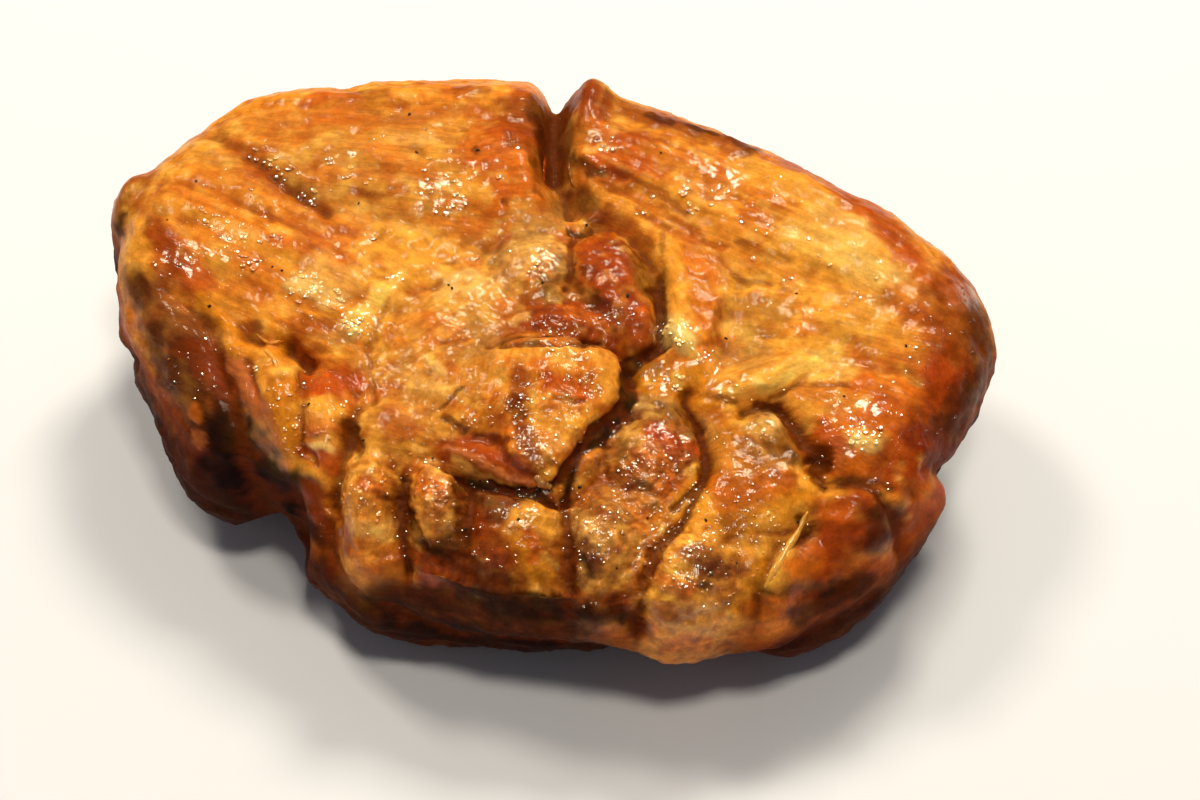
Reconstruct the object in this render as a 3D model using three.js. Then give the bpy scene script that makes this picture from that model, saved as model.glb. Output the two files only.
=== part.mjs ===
import * as THREE from "three";
import { mergeVertices } from "three/addons/utils/BufferGeometryUtils.js";

// A roasted pork neck: one thick slice of several muscles, lying on its flat
// foot with the cut face up. Millimetres, +Z up, the long side along X.

// The slab that carries the muscles
const faceHeight = 38; // the cut face over the ground, at y = 0
const faceSlope = 0.15; // the face climbs towards the back
const faceDrop = 3.2; // the bed between the muscles lies this far under the face
const girthHeight = 27; // the slice is widest here and draws in below
const footInset = 18; // how far the wall draws in down to the ground
const topInset = 1.5;
const topCorner = 10;
const bottomCorner = 12;
const seamBlend = 1.4; // softness of the seams on the face
const lobeBlend = 2.4; // softness where a round muscle meets the slab
const seamWall = [16, 30]; // cracks fade out down the wall between these heights

// Surface mesh
const geodesicDetail = 23;
const relaxRounds = 9;

// Widest outline of the slice in plan, clockwise from the left end, joined by a smooth loop
const outlinePoints = [
  [-76, 34], [-71, 50], [-54, 65], [-27, 70], [4, 68.5], [29, 57.5], [53, 42.5], [69, 27], [73, 8],
  [63, -12], [46, -29], [20, -39], [-10, -38], [-33, -28], [-46, -15.5], [-59, -6], [-72, 12],
];
const hub = [0, 10]; // middle of the outline, for directions in plan

// Muscles on the cut face:
// name, x, y, half length, half width, turn, rise over the face, fall at the rim, edge power, ripple
const pads = [
  ["left lobe", -50, 24, 26, 15, -28, 1.3, 1.8, 2, 0.25],
  ["left rim", -67, 31, 8, 13, 10, 0.2, 2.4, 2, 0],
  ["back left", -31, 41, 27, 10, -7, 1.3, 1.6, 2, 0.15],
  ["back rim", -28, 56, 38, 7, 0, -0.2, 1.6, 2, 0.2],
  ["pillow", -10, 41, 8, 10, 4, 1.6, 2.0, 3, 0],
  ["left middle", -32, 20, 15, 10, -14, 0.7, 1.6, 2, 0.2],
  ["back right", 37, 31, 36, 11, -31, 1.4, 1.7, 2, 0.15],
  ["knob foot", 13, 44, 10, 8, -30, 1.0, 2.0, 2, 0.2],
  ["right leg", 23, 12, 6.5, 15, 8, 0.6, 2.0, 2, 0.2],
  ["right shelf", 46, 9, 20, 8, -14, 0.9, 1.6, 2, 0],
  ["shelf fat", 35, -2, 10, 4, 20, 1.0, 2.0, 2, 0],
  ["right bulge", 50, -11, 13, 11, -24, 1.9, 2.4, 2, 0],
  ["right end", 64, 3, 9, 18, 8, -0.4, 2.4, 2, 0.2],
  ["centre left", -19, 6, 12, 13, -10, 0.7, 1.6, 2, 0],
  ["centre foot", -25, -11, 6.5, 5.5, -10, 0.6, 2.0, 2, 0],
  ["pale crust", -4, 21, 7.5, 8, 0, 0.2, 2.2, 2, 0],
  ["red crust", 9, 18, 6, 10, 12, 1.3, 2.6, 2, 0],
  ["low crust", 0, 9, 9, 5, -8, 0.2, 2.4, 2, 0],
  ["side crust", 14, 8, 3.6, 7, 6, 0.6, 2.6, 2, 0],
  ["flap", -1.5, -4.5, 11.5, 8.8, -6, 3.4, 1.6, 4, 0.2],
  ["flap root", -13, -5, 8, 7.5, -10, 1.9, 1.6, 2, 0],
  ["flap tip", -1, -14, 6.5, 8.5, -20, 3.0, 1.6, 4, 0.2],
  ["fold under flap", -11, -18, 10, 3.2, -26, 0.3, 1.6, 2, 0],
  ["fat channel", 18, -3, 6, 6, 0, -2.0, 1.2, 2, 0],
  ["ridge", 34, -12, 4, 7, 28, 0.2, 2.4, 2, 0],
  ["front right", 31, -23, 10, 14, -10, 0.5, 2.0, 2, 0],
  ["fat strip", -44, -8, 3.4, 12, 10, 0.2, 2.0, 2, 0],
  ["inner left", -37.5, -11, 4.5, 10, 0, 0.6, 2.4, 2, 0],
  ["knuckle bed", -9, -28, 6, 9, 0, -1.0, 2.0, 2, 0],
];
const rippleSpacing = 7;

// Muscles with a round of their own, which also swell out of the wall:
// name, x, y, half length, half width, half depth, turn, rise of the top over the face
const lobes = [
  ["high bulge", 16, -16, 9, 12.5, 11, -20, 1.1],
  ["low bulge", 8, -31, 8, 12, 11, -10, 0.3],
  ["front chunk", 21, -36, 10.5, 9, 12, 20, 0.8],
  ["heel", 49, -24, 11.5, 7, 12, 38, 0],
  ["heel foot", 40, -30, 12, 7.5, 12, 28, -4.5],
  ["heel web", 33, -33, 7, 9, 9, 0, -1.4],
  ["right foot", 56, -14, 7.5, 8, 10, 20, -0.6],
  ["front middle", -5, -29, 12, 11, 13, 4, -0.2],
  ["front toe", -22, -27, 14, 8, 13, -14, -4.5],
  ["front knuckle", -18.8, -24.5, 5.4, 7.2, 8, 4, 1.6],
  ["front left", -30, -22, 5.4, 12, 13, 4, 0.6],
  ["back knob", 5.5, 56, 5.4, 10, 12, -8, 0.9],
  ["left tip", -73, 40, 5, 7, 10, -12, -3],
  ["left wall", -64, 15, 7, 13, 11, 33, -5],
  ["left heel", -57, -2, 7, 12, 10, 36, -10],
  ["front corner", -38, -16.5, 5.5, 8.5, 12, 8, -6],
];

// Cracks: name, depth, half width, plan points
const cracks = [
  ["left groove", 1.1, 1.6, [[-60, 50], [-50, 40.5], [-45, 36], [-39.5, 31.5]]],
  ["round top", 1.1, 1.5, [[1, 31], [10, 30], [15, 25], [17.6, 19]]],
  ["round muscle", 2.0, 1.4, [[17.6, 19], [17.8, 12], [17, 5], [13, 1.5]]],
  ["flap side", 2.3, 1.45, [[12, 1], [13, -5], [10, -10.5], [4, -17], [1.5, -24]]],
  ["flap top", 1.0, 1.3, [[-11, 3.4], [0, 5], [9, 4]]],
  ["fold", 1.9, 1.4, [[-18, -19], [-8, -22.6], [0, -25]]],
  ["bulge side", 1.9, 1.45, [[21, -5], [24.6, -13], [24.6, -20], [20.6, -28], [16.4, -34], [13.4, -42], [11.6, -60]]],
  ["bulge left", 0.9, 1.4, [[1.6, -27], [2, -33], [3, -44]]],
  ["heel crease", 1.7, 1.6, [[39.6, -28.6], [36, -32], [32, -40], [30, -60]]],
  ["hole", 4, 1.9, [[42.6, -19.2], [43.4, -20.6]]],
  ["shelf crease", 1.9, 1.8, [[31, -8], [36, -7.4], [40, -12], [42, -17]]],
  ["right crease", 1.8, 1.7, [[46, -21.6], [50, -23], [55, -26], [62, -38]]],
  ["fat pit", 3.0, 2.2, [[-44, 5], [-41, 2]]],
  ["small pit", 1.4, 1.5, [[-51, 7], [-49, 6]]],
  ["knuckle side", 1.9, 1.4, [[-24.5, -19], [-24.6, -27], [-23, -33]]],
  ["knuckle right", 1.0, 1.4, [[-13.6, -20.5], [-13, -25], [-13, -29], [-14, -33]]],
  ["inner crack", 1.8, 1.5, [[-33.6, -12], [-35, -20], [-36, -28], [-37, -34]]],
  ["left seam", 1.5, 1.8, [[-66, 18], [-58, 9], [-54, -1], [-51, -9], [-46, -20]]],
  ["leg seam", 0.8, 1.6, [[31, 17], [29, 10], [27, 1]]],
  ["back fold", 0.9, 3.0, [[-40, 90], [-38, 66], [-37, 60]]],
  ["right fold", 1.5, 2.6, [[66, 60], [56, 45], [52, 41]]],
];
// The cleft at the back, between the two halves of the slice, runs further down the wall
const cleft = [["notch", 5.6, 2.7, [[0.6, 84], [-0.8, 56], [-0.6, 43], [2, 35]]]];
const cleftWall = [10, 22];

// Seams in the outer wall: name, depth, half width, points as degrees round the hub and height
const wallSeams = [
  ["back", 1.5, 1.9, [[158, 30], [140, 19], [118, 22], [96, 15], [74, 20], [60, 31]]],
  ["back low", 1.2, 1.8, [[118, 22], [108, 10], [92, 5]]],
  ["right", 1.4, 1.8, [[52, 34], [38, 20], [18, 24], [2, 15], [-16, 20], [-24, 31]]],
  ["right low", 1.2, 1.8, [[18, 24], [28, 10], [44, 6]]],
  ["left", 1.4, 1.8, [[178, 26], [166, 14], [150, 9]]],
  ["front", 1.3, 2.0, [[-132, 22], [-112, 13], [-84, 16], [-60, 11], [-40, 17]]],
];

// Hollows in the wall: name, x, y, z, half length, half width, half depth
const hollows = [["under the strips", -48, -20, 19, 9.5, 7.5, 11]];

const degree = Math.PI / 180;
const clamp = (v, low, high) => Math.min(Math.max(v, low), high);

function smoothMin(a, b, softness) {
  const h = Math.max(softness - Math.abs(a - b), 0) / softness;
  return Math.min(a, b) - (h * h * softness) / 4;
}

function smoothMax(a, b, softness) {
  return -smoothMin(-a, -b, softness);
}

// Offsets from (x0, y0) along and across a direction turned by the given degrees
function turned(x, y, x0, y0, turn) {
  const c = Math.cos(turn * degree);
  const s = Math.sin(turn * degree);
  return [(x - x0) * c + (y - y0) * s, (y - y0) * c - (x - x0) * s];
}

// Radius of the outline about the hub, looked up every degree
const outlineCurve = new THREE.CatmullRomCurve3(
  outlinePoints.map(([x, y]) => new THREE.Vector3(x - hub[0], y - hub[1], 0)),
  true,
  "catmullrom",
  0.5,
);
const outlineReach = (() => {
  const loop = outlineCurve.getPoints(720).slice(0, 720);
  const polar = loop.map((p) => [Math.atan2(p.y, p.x) / degree, Math.hypot(p.x, p.y)]);
  polar.sort((p, q) => p[0] - q[0]);
  const first = polar[0];
  const last = polar[polar.length - 1];
  const ring = [[last[0] - 360, last[1]], ...polar, [first[0] + 360, first[1]]];
  const reach = [];
  let k = 0;
  for (let d = -180; d <= 180; d++) {
    while (ring[k + 1][0] < d) k++;
    const [a, b] = [ring[k], ring[k + 1]];
    reach.push(a[1] + ((b[1] - a[1]) * (d - a[0])) / (b[0] - a[0] || 1));
  }
  return reach;
})();

function edgeRadius(angle) {
  const d = clamp(angle / degree + 180, 0, 359.999);
  const i = Math.floor(d);
  return outlineReach[i] + (outlineReach[i + 1] - outlineReach[i]) * (d - i);
}

// Value noise on a hashed lattice, -1 to 1
function corner(x, y, z, seed) {
  let h = Math.imul(x, 374761393) + Math.imul(seed, 1013904223);
  h = (h + Math.imul(y, 668265263) + Math.imul(z, 1274126177)) >>> 0;
  h = Math.imul(h ^ (h >>> 13), 1103515245) >>> 0;
  return ((h ^ (h >>> 16)) & 0xffff) / 32767.5 - 1;
}

function latticeNoise(x, y, z, seed) {
  const [xi, yi, zi] = [Math.floor(x), Math.floor(y), Math.floor(z)];
  const ease = (t) => t * t * (3 - 2 * t);
  const [fx, fy, fz] = [ease(x - xi), ease(y - yi), ease(z - zi)];
  let total = 0;
  for (const cx of [0, 1]) {
    for (const cy of [0, 1]) {
      for (const cz of [0, 1]) {
        const share = (cx ? fx : 1 - fx) * (cy ? fy : 1 - fy) * (cz ? fz : 1 - fz);
        total += share * corner(xi + cx, yi + cy, zi + cz, seed);
      }
    }
  }
  return total;
}

// Slow unevenness over the whole surface
function waves(x, y, z) {
  return (
    latticeNoise(x / 13, y / 13, z / 13, 1) +
    0.55 * latticeNoise(x / 6.1 + 7, y / 6.1, z / 6.1, 2) +
    0.25 * latticeNoise(x / 3.1, y / 3.1 + 5, z / 3.1, 3)
  );
}

function smoothStep(low, high, v) {
  const t = clamp((v - low) / (high - low), 0, 1);
  return t * t * (3 - 2 * t);
}

function faceAt(y) {
  return faceHeight + faceSlope * y;
}

// Height of the muscle tops over the sloping face
function relief(x, y, unevenness) {
  let total = -faceDrop;
  for (const [, x0, y0, long, wide, turn, rise, fall, edge, ripple] of pads) {
    const [u, v] = turned(x, y, x0, y0, turn);
    const s = (u / long) ** 2 + (v / wide) ** 2;
    if (s > 6) continue;
    const fibres = ripple * Math.sin((2 * Math.PI * v) / rippleSpacing + 1.5 * unevenness);
    total = smoothMax(total, rise - fall * s ** (edge / 2) + fibres, seamBlend);
  }
  return total;
}

// Depth of the nearest of the given lines at a place on their plane
function lineDepth(x, y, lines) {
  let total = 0;
  for (const [, depth, halfWidth, points] of lines) {
    let best = Infinity;
    for (let i = 0; i + 1 < points.length; i++) {
      const [ax, ay] = points[i];
      const [dx, dy] = [points[i + 1][0] - ax, points[i + 1][1] - ay];
      const t = clamp(((x - ax) * dx + (y - ay) * dy) / (dx * dx + dy * dy), 0, 1);
      best = Math.min(best, Math.hypot(x - ax - t * dx, y - ay - t * dy));
    }
    total = Math.max(total, depth * Math.exp(-((best / halfWidth) ** 2)));
  }
  return total;
}

// Signed field of the meat: below zero inside, above zero outside
function meatField(x, y, z) {
  const uneven = waves(x, y, z);
  const across = Math.hypot(x - hub[0], y - hub[1]);
  const angle = Math.atan2(y - hub[1], x - hub[0]);
  const top = faceAt(y) + relief(x, y, uneven) + 0.45 * uneven;
  const below = clamp((girthHeight - z) / girthHeight, 0, 1);
  const above = clamp((z - girthHeight) / 14, 0, 1.5);
  const wall = across - edgeRadius(angle) + footInset * below ** 1.5 + topInset * above ** 2;
  const upper = z > girthHeight;
  const round = upper ? topCorner : bottomCorner;
  const a = wall + 1.2 * uneven + round;
  const b = (upper ? z - top : -z) + round;
  let f = Math.min(Math.max(a, b), 0) + Math.hypot(Math.max(a, 0), Math.max(b, 0)) - round;
  const softness = lobeBlend * (1 + 2.2 * smoothStep(32, 18, z));
  for (const [, x0, y0, long, wide, deep, turn, rise] of lobes) {
    const [u, v] = turned(x, y, x0, y0, turn);
    const w = z - (faceAt(y0) + rise - deep) - faceSlope * (y - y0);
    const k = Math.hypot(u / long, v / wide, w / deep) + 1e-6;
    f = smoothMin(f, Math.hypot(u, v, w) * (1 - 1 / k) + 0.25 * uneven, softness);
  }
  for (const [, x0, y0, z0, long, wide, deep] of hollows) {
    const [u, v, w] = [x - x0, y - y0, z - z0];
    const k = Math.hypot(u / long, v / wide, w / deep) + 1e-6;
    f = smoothMax(f, Math.hypot(u, v, w) * (1 / k - 1), lobeBlend);
  }
  f += lineDepth(x, y, cleft) * smoothStep(cleftWall[0], cleftWall[1], z);
  f += lineDepth(x, y, cracks) * smoothStep(seamWall[0], seamWall[1], z);
  if (across > 20) f += lineDepth(angle / degree, z, wallSeams) * smoothStep(2, 8, z);
  return Math.max(f, -z);
}

// A start point for each direction of the sphere, on a pillbox round the meat:
// the upper half of the sphere lands on the lid, the rest on the wall and the foot
const lidHeight = 54;
const lowHeight = -3;
const clearance = 6;
const lidShare = 0.5;
const wallShare = 0.28;

function pillboxPoint(direction) {
  const share = Math.acos(clamp(direction.z, -1, 1)) / Math.PI;
  const angle = Math.atan2(direction.y, direction.x);
  const reach = edgeRadius(angle) + clearance;
  const footShare = 1 - lidShare - wallShare;
  let spread = 1;
  let height = lidHeight + ((lowHeight - lidHeight) * (share - lidShare)) / wallShare;
  if (share < lidShare) [spread, height] = [share / lidShare, lidHeight];
  if (share > lidShare + wallShare) [spread, height] = [(1 - share) / footShare, lowHeight];
  return new THREE.Vector3(
    hub[0] + spread * reach * Math.cos(angle),
    hub[1] + spread * reach * Math.sin(angle),
    height,
  );
}

// Walk from the pillbox towards the core of the meat until its surface is met
function shrinkOnto(start) {
  const goal = new THREE.Vector3(
    hub[0] + (start.x - hub[0]) * 0.5,
    hub[1] + (start.y - hub[1]) * 0.5,
    16,
  );
  const inside = (t) => {
    const p = start.clone().lerp(goal, t);
    return meatField(p.x, p.y, p.z) <= 0;
  };
  const steps = 60;
  let far = 1;
  while (far < steps && !inside(far / steps)) far++;
  let [low, high] = [(far - 1) / steps, far / steps];
  for (let i = 0; i < 10; i++) {
    const middle = (low + high) / 2;
    if (inside(middle)) high = middle;
    else low = middle;
  }
  return start.clone().lerp(goal, (low + high) / 2);
}

// Move each point towards the mean of its neighbours
function soften(points, index, amount) {
  const sums = points.map(() => new THREE.Vector3());
  const counts = new Array(points.length).fill(0);
  for (let i = 0; i < index.length; i++) {
    const next = i % 3 === 2 ? i - 2 : i + 1;
    sums[index[i]].add(points[index[next]]);
    counts[index[i]] += 1;
  }
  points.forEach((p, i) => p.lerp(sums[i].divideScalar(counts[i]), amount));
}

// Two Newton steps back onto the surface
function settle(p) {
  const h = 0.05;
  for (let round = 0; round < 2; round++) {
    const f = meatField(p.x, p.y, p.z);
    const gx = (meatField(p.x + h, p.y, p.z) - f) / h;
    const gy = (meatField(p.x, p.y + h, p.z) - f) / h;
    const gz = (meatField(p.x, p.y, p.z + h) - f) / h;
    const step = clamp(f / Math.max(gx * gx + gy * gy + gz * gz, 0.3), -1, 1);
    p.set(p.x - step * gx, p.y - step * gy, p.z - step * gz);
  }
}

function meatGeometry() {
  const ball = new THREE.IcosahedronGeometry(1, geodesicDetail - 1);
  ball.deleteAttribute("normal");
  ball.deleteAttribute("uv");
  const geometry = mergeVertices(ball, 1e-5);
  const position = geometry.getAttribute("position");
  const points = [];
  for (let i = 0; i < position.count; i++) {
    const direction = new THREE.Vector3().fromBufferAttribute(position, i).normalize();
    points.push(shrinkOnto(pillboxPoint(direction)));
  }
  // even spacing on the surface first, then one pass that rounds off the sharpest points
  const index = geometry.index.array;
  for (let round = 0; round < relaxRounds; round++) {
    soften(points, index, 0.6);
    points.forEach(settle);
  }
  soften(points, index, 0.5);
  // the foot lies flat on the ground
  points.forEach((p, i) => position.setXYZ(i, p.x, p.y, p.z < 0.12 ? 0 : p.z));
  // the origin sits at the middle of the box, on the ground
  geometry.computeBoundingBox();
  const middle = geometry.boundingBox.getCenter(new THREE.Vector3());
  geometry.translate(-middle.x, -middle.y, 0);
  geometry.computeVertexNormals();
  return geometry;
}

const roastMeat = new THREE.MeshStandardMaterial({ color: 0xa8622b, roughness: 0.45, metalness: 0 });

const porkNeck = new THREE.Mesh(meatGeometry(), roastMeat);
porkNeck.name = "pork_neck";

const group = new THREE.Group();
group.name = "pork_neck_part";
group.add(porkNeck);

export default group;
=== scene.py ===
import bpy
import math
import numpy as np
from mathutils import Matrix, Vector, noise


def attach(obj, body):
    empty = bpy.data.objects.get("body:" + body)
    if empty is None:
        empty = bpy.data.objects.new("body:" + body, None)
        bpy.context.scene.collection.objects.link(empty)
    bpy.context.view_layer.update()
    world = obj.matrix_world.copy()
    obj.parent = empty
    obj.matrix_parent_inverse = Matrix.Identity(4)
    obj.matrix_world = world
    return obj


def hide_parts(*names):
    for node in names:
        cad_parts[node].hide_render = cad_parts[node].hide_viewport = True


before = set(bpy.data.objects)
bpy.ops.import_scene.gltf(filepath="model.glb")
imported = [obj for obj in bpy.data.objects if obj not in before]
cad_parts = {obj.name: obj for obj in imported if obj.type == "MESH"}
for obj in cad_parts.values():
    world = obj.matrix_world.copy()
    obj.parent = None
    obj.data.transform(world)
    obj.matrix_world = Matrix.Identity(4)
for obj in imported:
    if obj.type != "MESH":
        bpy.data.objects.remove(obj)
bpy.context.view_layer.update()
print("packed model loaded")

# The slab that carries the muscles, in millimetres. x and y are plan positions on the slice
slab = {
    "faceHeight": 38.0, "faceSlope": 0.15, "faceDrop": 3.2,
    "girthHeight": 27.0, "footInset": 18.0, "topInset": 1.5,
    "topCorner": 10.0, "bottomCorner": 12.0,
    "seamBlend": 1.4, "lobeBlend": 2.4, "softerLow": 2.2, "softerBand": (32, 18), "rippleSpacing": 7.0,
    "faceWaves": 0.45, "wallWaves": 1.2, "lobeWaves": 0.25,
    "crackFade": (16, 30), "notchFade": (10, 22), "seamFade": (2, 8), "seamReach": 20,
    "hub": (0.0, 10.0),
    "outline": [
        (-76, 34), (-71, 50), (-54, 65), (-27, 70), (4, 68.5), (29, 57.5), (53, 42.5), (69, 27), (73, 8),
        (63, -12), (46, -29), (20, -39), (-10, -38), (-33, -28), (-46, -15.5), (-59, -6), (-72, 12),
    ],
}

# Muscles on the cut face: x, y, half length, half width, turn, rise, fall, edge power, ripple,
# then how they look: tone, crust, fibre, direction of the fibres
pads = {
    "leftLobe": (-50, 24, 26, 15, -28, 1.3, 1.8, 2, 0.25, "amber", 0.12, 1.0, -31),
    "leftRim": (-67, 31, 8, 13, 10, 0.2, 2.4, 2, 0, "orange", 0.12, 0.8, -28),
    "backLeft": (-31, 41, 27, 10, -7, 1.3, 1.6, 2, 0.15, "tan", 0.1, 0.6, -10),
    "backRim": (-28, 56, 38, 7, 0, -0.2, 1.6, 2, 0.2, "amber", 0.12, 0.7, -4),
    "pillow": (-10, 41, 8, 10, 4, 1.6, 2.0, 3, 0, "orange", 0.1, 0.4, 10),
    "leftMiddle": (-32, 20, 15, 10, -14, 0.7, 1.6, 2, 0.2, "gold", 0.12, 0.5, -40),
    "backRight": (37, 31, 36, 11, -31, 1.4, 1.7, 2, 0.15, "amber", 0.06, 1.0, -31),
    "knobFoot": (13, 44, 10, 8, -30, 1.0, 2.0, 2, 0.2, "rust", 0.08, 1.0, -26),
    "rightLeg": (23, 12, 6.5, 15, 8, 0.6, 2.0, 2, 0.2, "amber", 0.06, 0.8, -70),
    "rightShelf": (46, 9, 20, 8, -14, 0.9, 1.6, 2, 0, "gold", 0.14, 0.4, -12),
    "shelfFat": (35, -2, 10, 4, 20, 1.0, 2.0, 2, 0, "gold", 0.05, 0.5, 22),
    "rightBulge": (50, -11, 13, 11, -24, 1.9, 2.4, 2, 0, "orange", 0.2, 0.3, -30),
    "rightEnd": (64, 3, 9, 18, 8, -0.4, 2.4, 2, 0.2, "redBrown", 0.05, 0.5, -70),
    "centreLeft": (-19, 6, 12, 13, -10, 0.7, 1.6, 2, 0, "tan", 0.25, 0.5, 40),
    "centreFoot": (-25, -11, 6.5, 5.5, -10, 0.6, 2.0, 2, 0, "tan", 0.3, 0.4, -20),
    "paleCrust": (-4, 21, 7.5, 8, 0, 0.2, 2.2, 2, 0, "greyBrown", 0.5, 0.1, 20),
    "redCrust": (9, 18, 6, 10, 12, 1.3, 2.6, 2, 0, "redBrown", 0.45, 0.2, -60),
    "lowCrust": (0, 9, 9, 5, -8, 0.2, 2.4, 2, 0, "redBrown", 0.5, 0.2, 0),
    "sideCrust": (14, 8, 3.6, 7, 6, 0.6, 2.6, 2, 0, "brown", 0.4, 0.3, -80),
    "flap": (-1.5, -4.5, 11.5, 8.8, -6, 3.4, 1.6, 4, 0.2, "amber", 0.2, 0.8, 80),
    "flapRoot": (-13, -5, 8, 7.5, -10, 1.9, 1.6, 2, 0, "tan", 0.2, 0.6, 60),
    "flapTip": (-1, -14, 6.5, 8.5, -20, 3.0, 1.6, 4, 0.2, "amber", 0.4, 0.6, 70),
    "foldUnder": (-11, -18, 10, 3.2, -26, 0.3, 1.6, 2, 0, "redBrown", 0.1, 0.8, -26),
    "fatChannel": (18, -3, 6, 6, 0, -2.0, 1.2, 2, 0, "brown", 0.15, 0.3, 70),
    "ridge": (34, -12, 4, 7, 28, 0.2, 2.4, 2, 0, "greyBrown", 0.3, 0.6, -50),
    "frontRight": (31, -23, 10, 14, -10, 0.5, 2.0, 2, 0, "honey", 0.3, 0.4, -70),
    "fatStrip": (-44, -8, 3.4, 12, 10, 0.2, 2.0, 2, 0, "amber", 0.08, 1.0, -74),
    "innerLeft": (-37.5, -11, 4.5, 10, 0, 0.6, 2.4, 2, 0, "orange", 0.15, 0.9, -82),
    "knuckleBed": (-9, -28, 6, 9, 0, -1.0, 2.0, 2, 0, "redBrown", 0.6, 0.3, 80),
}

# Muscles with a round of their own: x, y, half sizes, turn, rise, then their looks as above
lobes = {
    "highBulge": (16, -16, 9, 12.5, 11, -20, 1.1, "greyBrown", 0.8, 0.1, -60),
    "lowBulge": (8, -31, 8, 12, 11, -10, 0.3, "greyBrown", 0.8, 0.1, -70),
    "frontChunk": (21, -36, 10.5, 9, 12, 20, 0.8, "tan", 0.9, 0.1, -60),
    "heel": (49, -24, 11.5, 7, 12, 38, 0.0, "rust", 0.2, 0.6, 40),
    "heelFoot": (40, -30, 12, 7.5, 12, 28, -4.5, "rust", 0.2, 0.6, 40),
    "heelWeb": (33, -33, 7, 9, 9, 0, -1.4, "tan", 0.3, 0.5, -70),
    "rightFoot": (56, -14, 7.5, 8, 10, 20, -0.6, "rust", 0.15, 0.5, -40),
    "frontMiddle": (-5, -29, 12, 11, 13, 4, -0.2, "brown", 0.4, 0.6, 80),
    "frontToe": (-22, -27, 14, 8, 13, -14, -4.5, "brown", 0.5, 0.4, 80),
    "frontKnuckle": (-18.8, -24.5, 5.4, 7.2, 8, 4, 1.6, "tan", 0.8, 0.2, 80),
    "frontLeft": (-30, -22, 5.4, 12, 13, 4, 0.6, "tan", 0.6, 0.5, 84),
    "backKnob": (5.5, 56, 5.4, 10, 12, -8, 0.9, "redBrown", 0.1, 0.8, 80),
    "leftTip": (-73, 40, 5, 7, 10, -12, -3.0, "brown", 0.2, 0.5, 60),
    "leftWall": (-64, 15, 7, 13, 11, 33, -5.0, "mahogany", 0.1, 0.7, 60),
    "leftHeel": (-57, -2, 7, 12, 10, 36, -10.0, "mahogany", 0.2, 0.5, 60),
    "frontCorner": (-38, -16.5, 5.5, 8.5, 12, 8, -6.0, "mahogany", 0.3, 0.5, 80),
}

# Cracks: depth, half width, plan points
cracks = {
    "notch": (5.6, 2.7, [(0.6, 84), (-0.8, 56), (-0.6, 43), (2, 35)]),
    "leftGroove": (1.1, 1.6, [(-60, 50), (-50, 40.5), (-45, 36), (-39.5, 31.5)]),
    "roundTop": (1.1, 1.5, [(1, 31), (10, 30), (15, 25), (17.6, 19)]),
    "roundMuscle": (2.0, 1.4, [(17.6, 19), (17.8, 12), (17, 5), (13, 1.5)]),
    "flapSide": (2.3, 1.45, [(12, 1), (13, -5), (10, -10.5), (4, -17), (1.5, -24)]),
    "flapTop": (1.0, 1.3, [(-11, 3.4), (0, 5), (9, 4)]),
    "fold": (1.9, 1.4, [(-18, -19), (-8, -22.6), (0, -25)]),
    "bulgeSide": (1.9, 1.45, [(21, -5), (24.6, -13), (24.6, -20), (20.6, -28), (16.4, -34), (13.4, -42),
                              (11.6, -60)]),
    "bulgeLeft": (0.9, 1.4, [(1.6, -27), (2, -33), (3, -44)]),
    "heelCrease": (1.7, 1.6, [(39.6, -28.6), (36, -32), (32, -40), (30, -60)]),
    "hole": (4.0, 1.9, [(42.6, -19.2), (43.4, -20.6)]),
    "shelfCrease": (1.9, 1.8, [(31, -8), (36, -7.4), (40, -12), (42, -17)]),
    "rightCrease": (1.8, 1.7, [(46, -21.6), (50, -23), (55, -26), (62, -38)]),
    "fatPit": (3.0, 2.2, [(-44, 5), (-41, 2)]),
    "smallPit": (1.4, 1.5, [(-51, 7), (-49, 6)]),
    "knuckleSide": (1.9, 1.4, [(-24.5, -19), (-24.6, -27), (-23, -33)]),
    "knuckleRight": (1.0, 1.4, [(-13.6, -20.5), (-13, -25), (-13, -29), (-14, -33)]),
    "innerCrack": (1.8, 1.5, [(-33.6, -12), (-35, -20), (-36, -28), (-37, -34)]),
    "leftSeam": (1.5, 1.8, [(-66, 18), (-58, 9), (-54, -1), (-51, -9), (-46, -20)]),
    "legSeam": (0.8, 1.6, [(31, 17), (29, 10), (27, 1)]),
    "backFold": (0.9, 3.0, [(-40, 90), (-38, 66), (-37, 60)]),
    "rightFold": (1.5, 2.6, [(66, 60), (56, 45), (52, 41)]),
}

# Seams down the outer wall: depth, half width, points as direction from the hub in degrees and height
wallSeams = {
    "back": (1.5, 1.9, [(158, 30), (140, 19), (118, 22), (96, 15), (74, 20), (60, 31)]),
    "backLow": (1.2, 1.8, [(118, 22), (108, 10), (92, 5)]),
    "right": (1.4, 1.8, [(52, 34), (38, 20), (18, 24), (2, 15), (-16, 20), (-24, 31)]),
    "rightLow": (1.2, 1.8, [(18, 24), (28, 10), (44, 6)]),
    "left": (1.4, 1.8, [(178, 26), (166, 14), (150, 9)]),
    "front": (1.3, 2.0, [(-132, 22), (-112, 13), (-84, 16), (-60, 11), (-40, 17)]),
}

# Hollows in the wall: x, y, z, half sizes
hollows = {"underStrips": (-48, -20, 19, 9.5, 7.5, 11)}


def catmullLoop(points, steps):
    p = np.array(points, float)
    t = np.linspace(0, 1, steps, endpoint=False)[:, None]
    loop = []
    for i in range(len(p)):
        a, b, c, d = p[i - 1], p[i], p[(i + 1) % len(p)], p[(i + 2) % len(p)]
        loop.append(0.5 * (2 * b + (c - a) * t + (2 * a - 5 * b + 4 * c - d) * t ** 2
                           + (3 * b - a - 3 * c + d) * t ** 3))
    return np.concatenate(loop)


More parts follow.
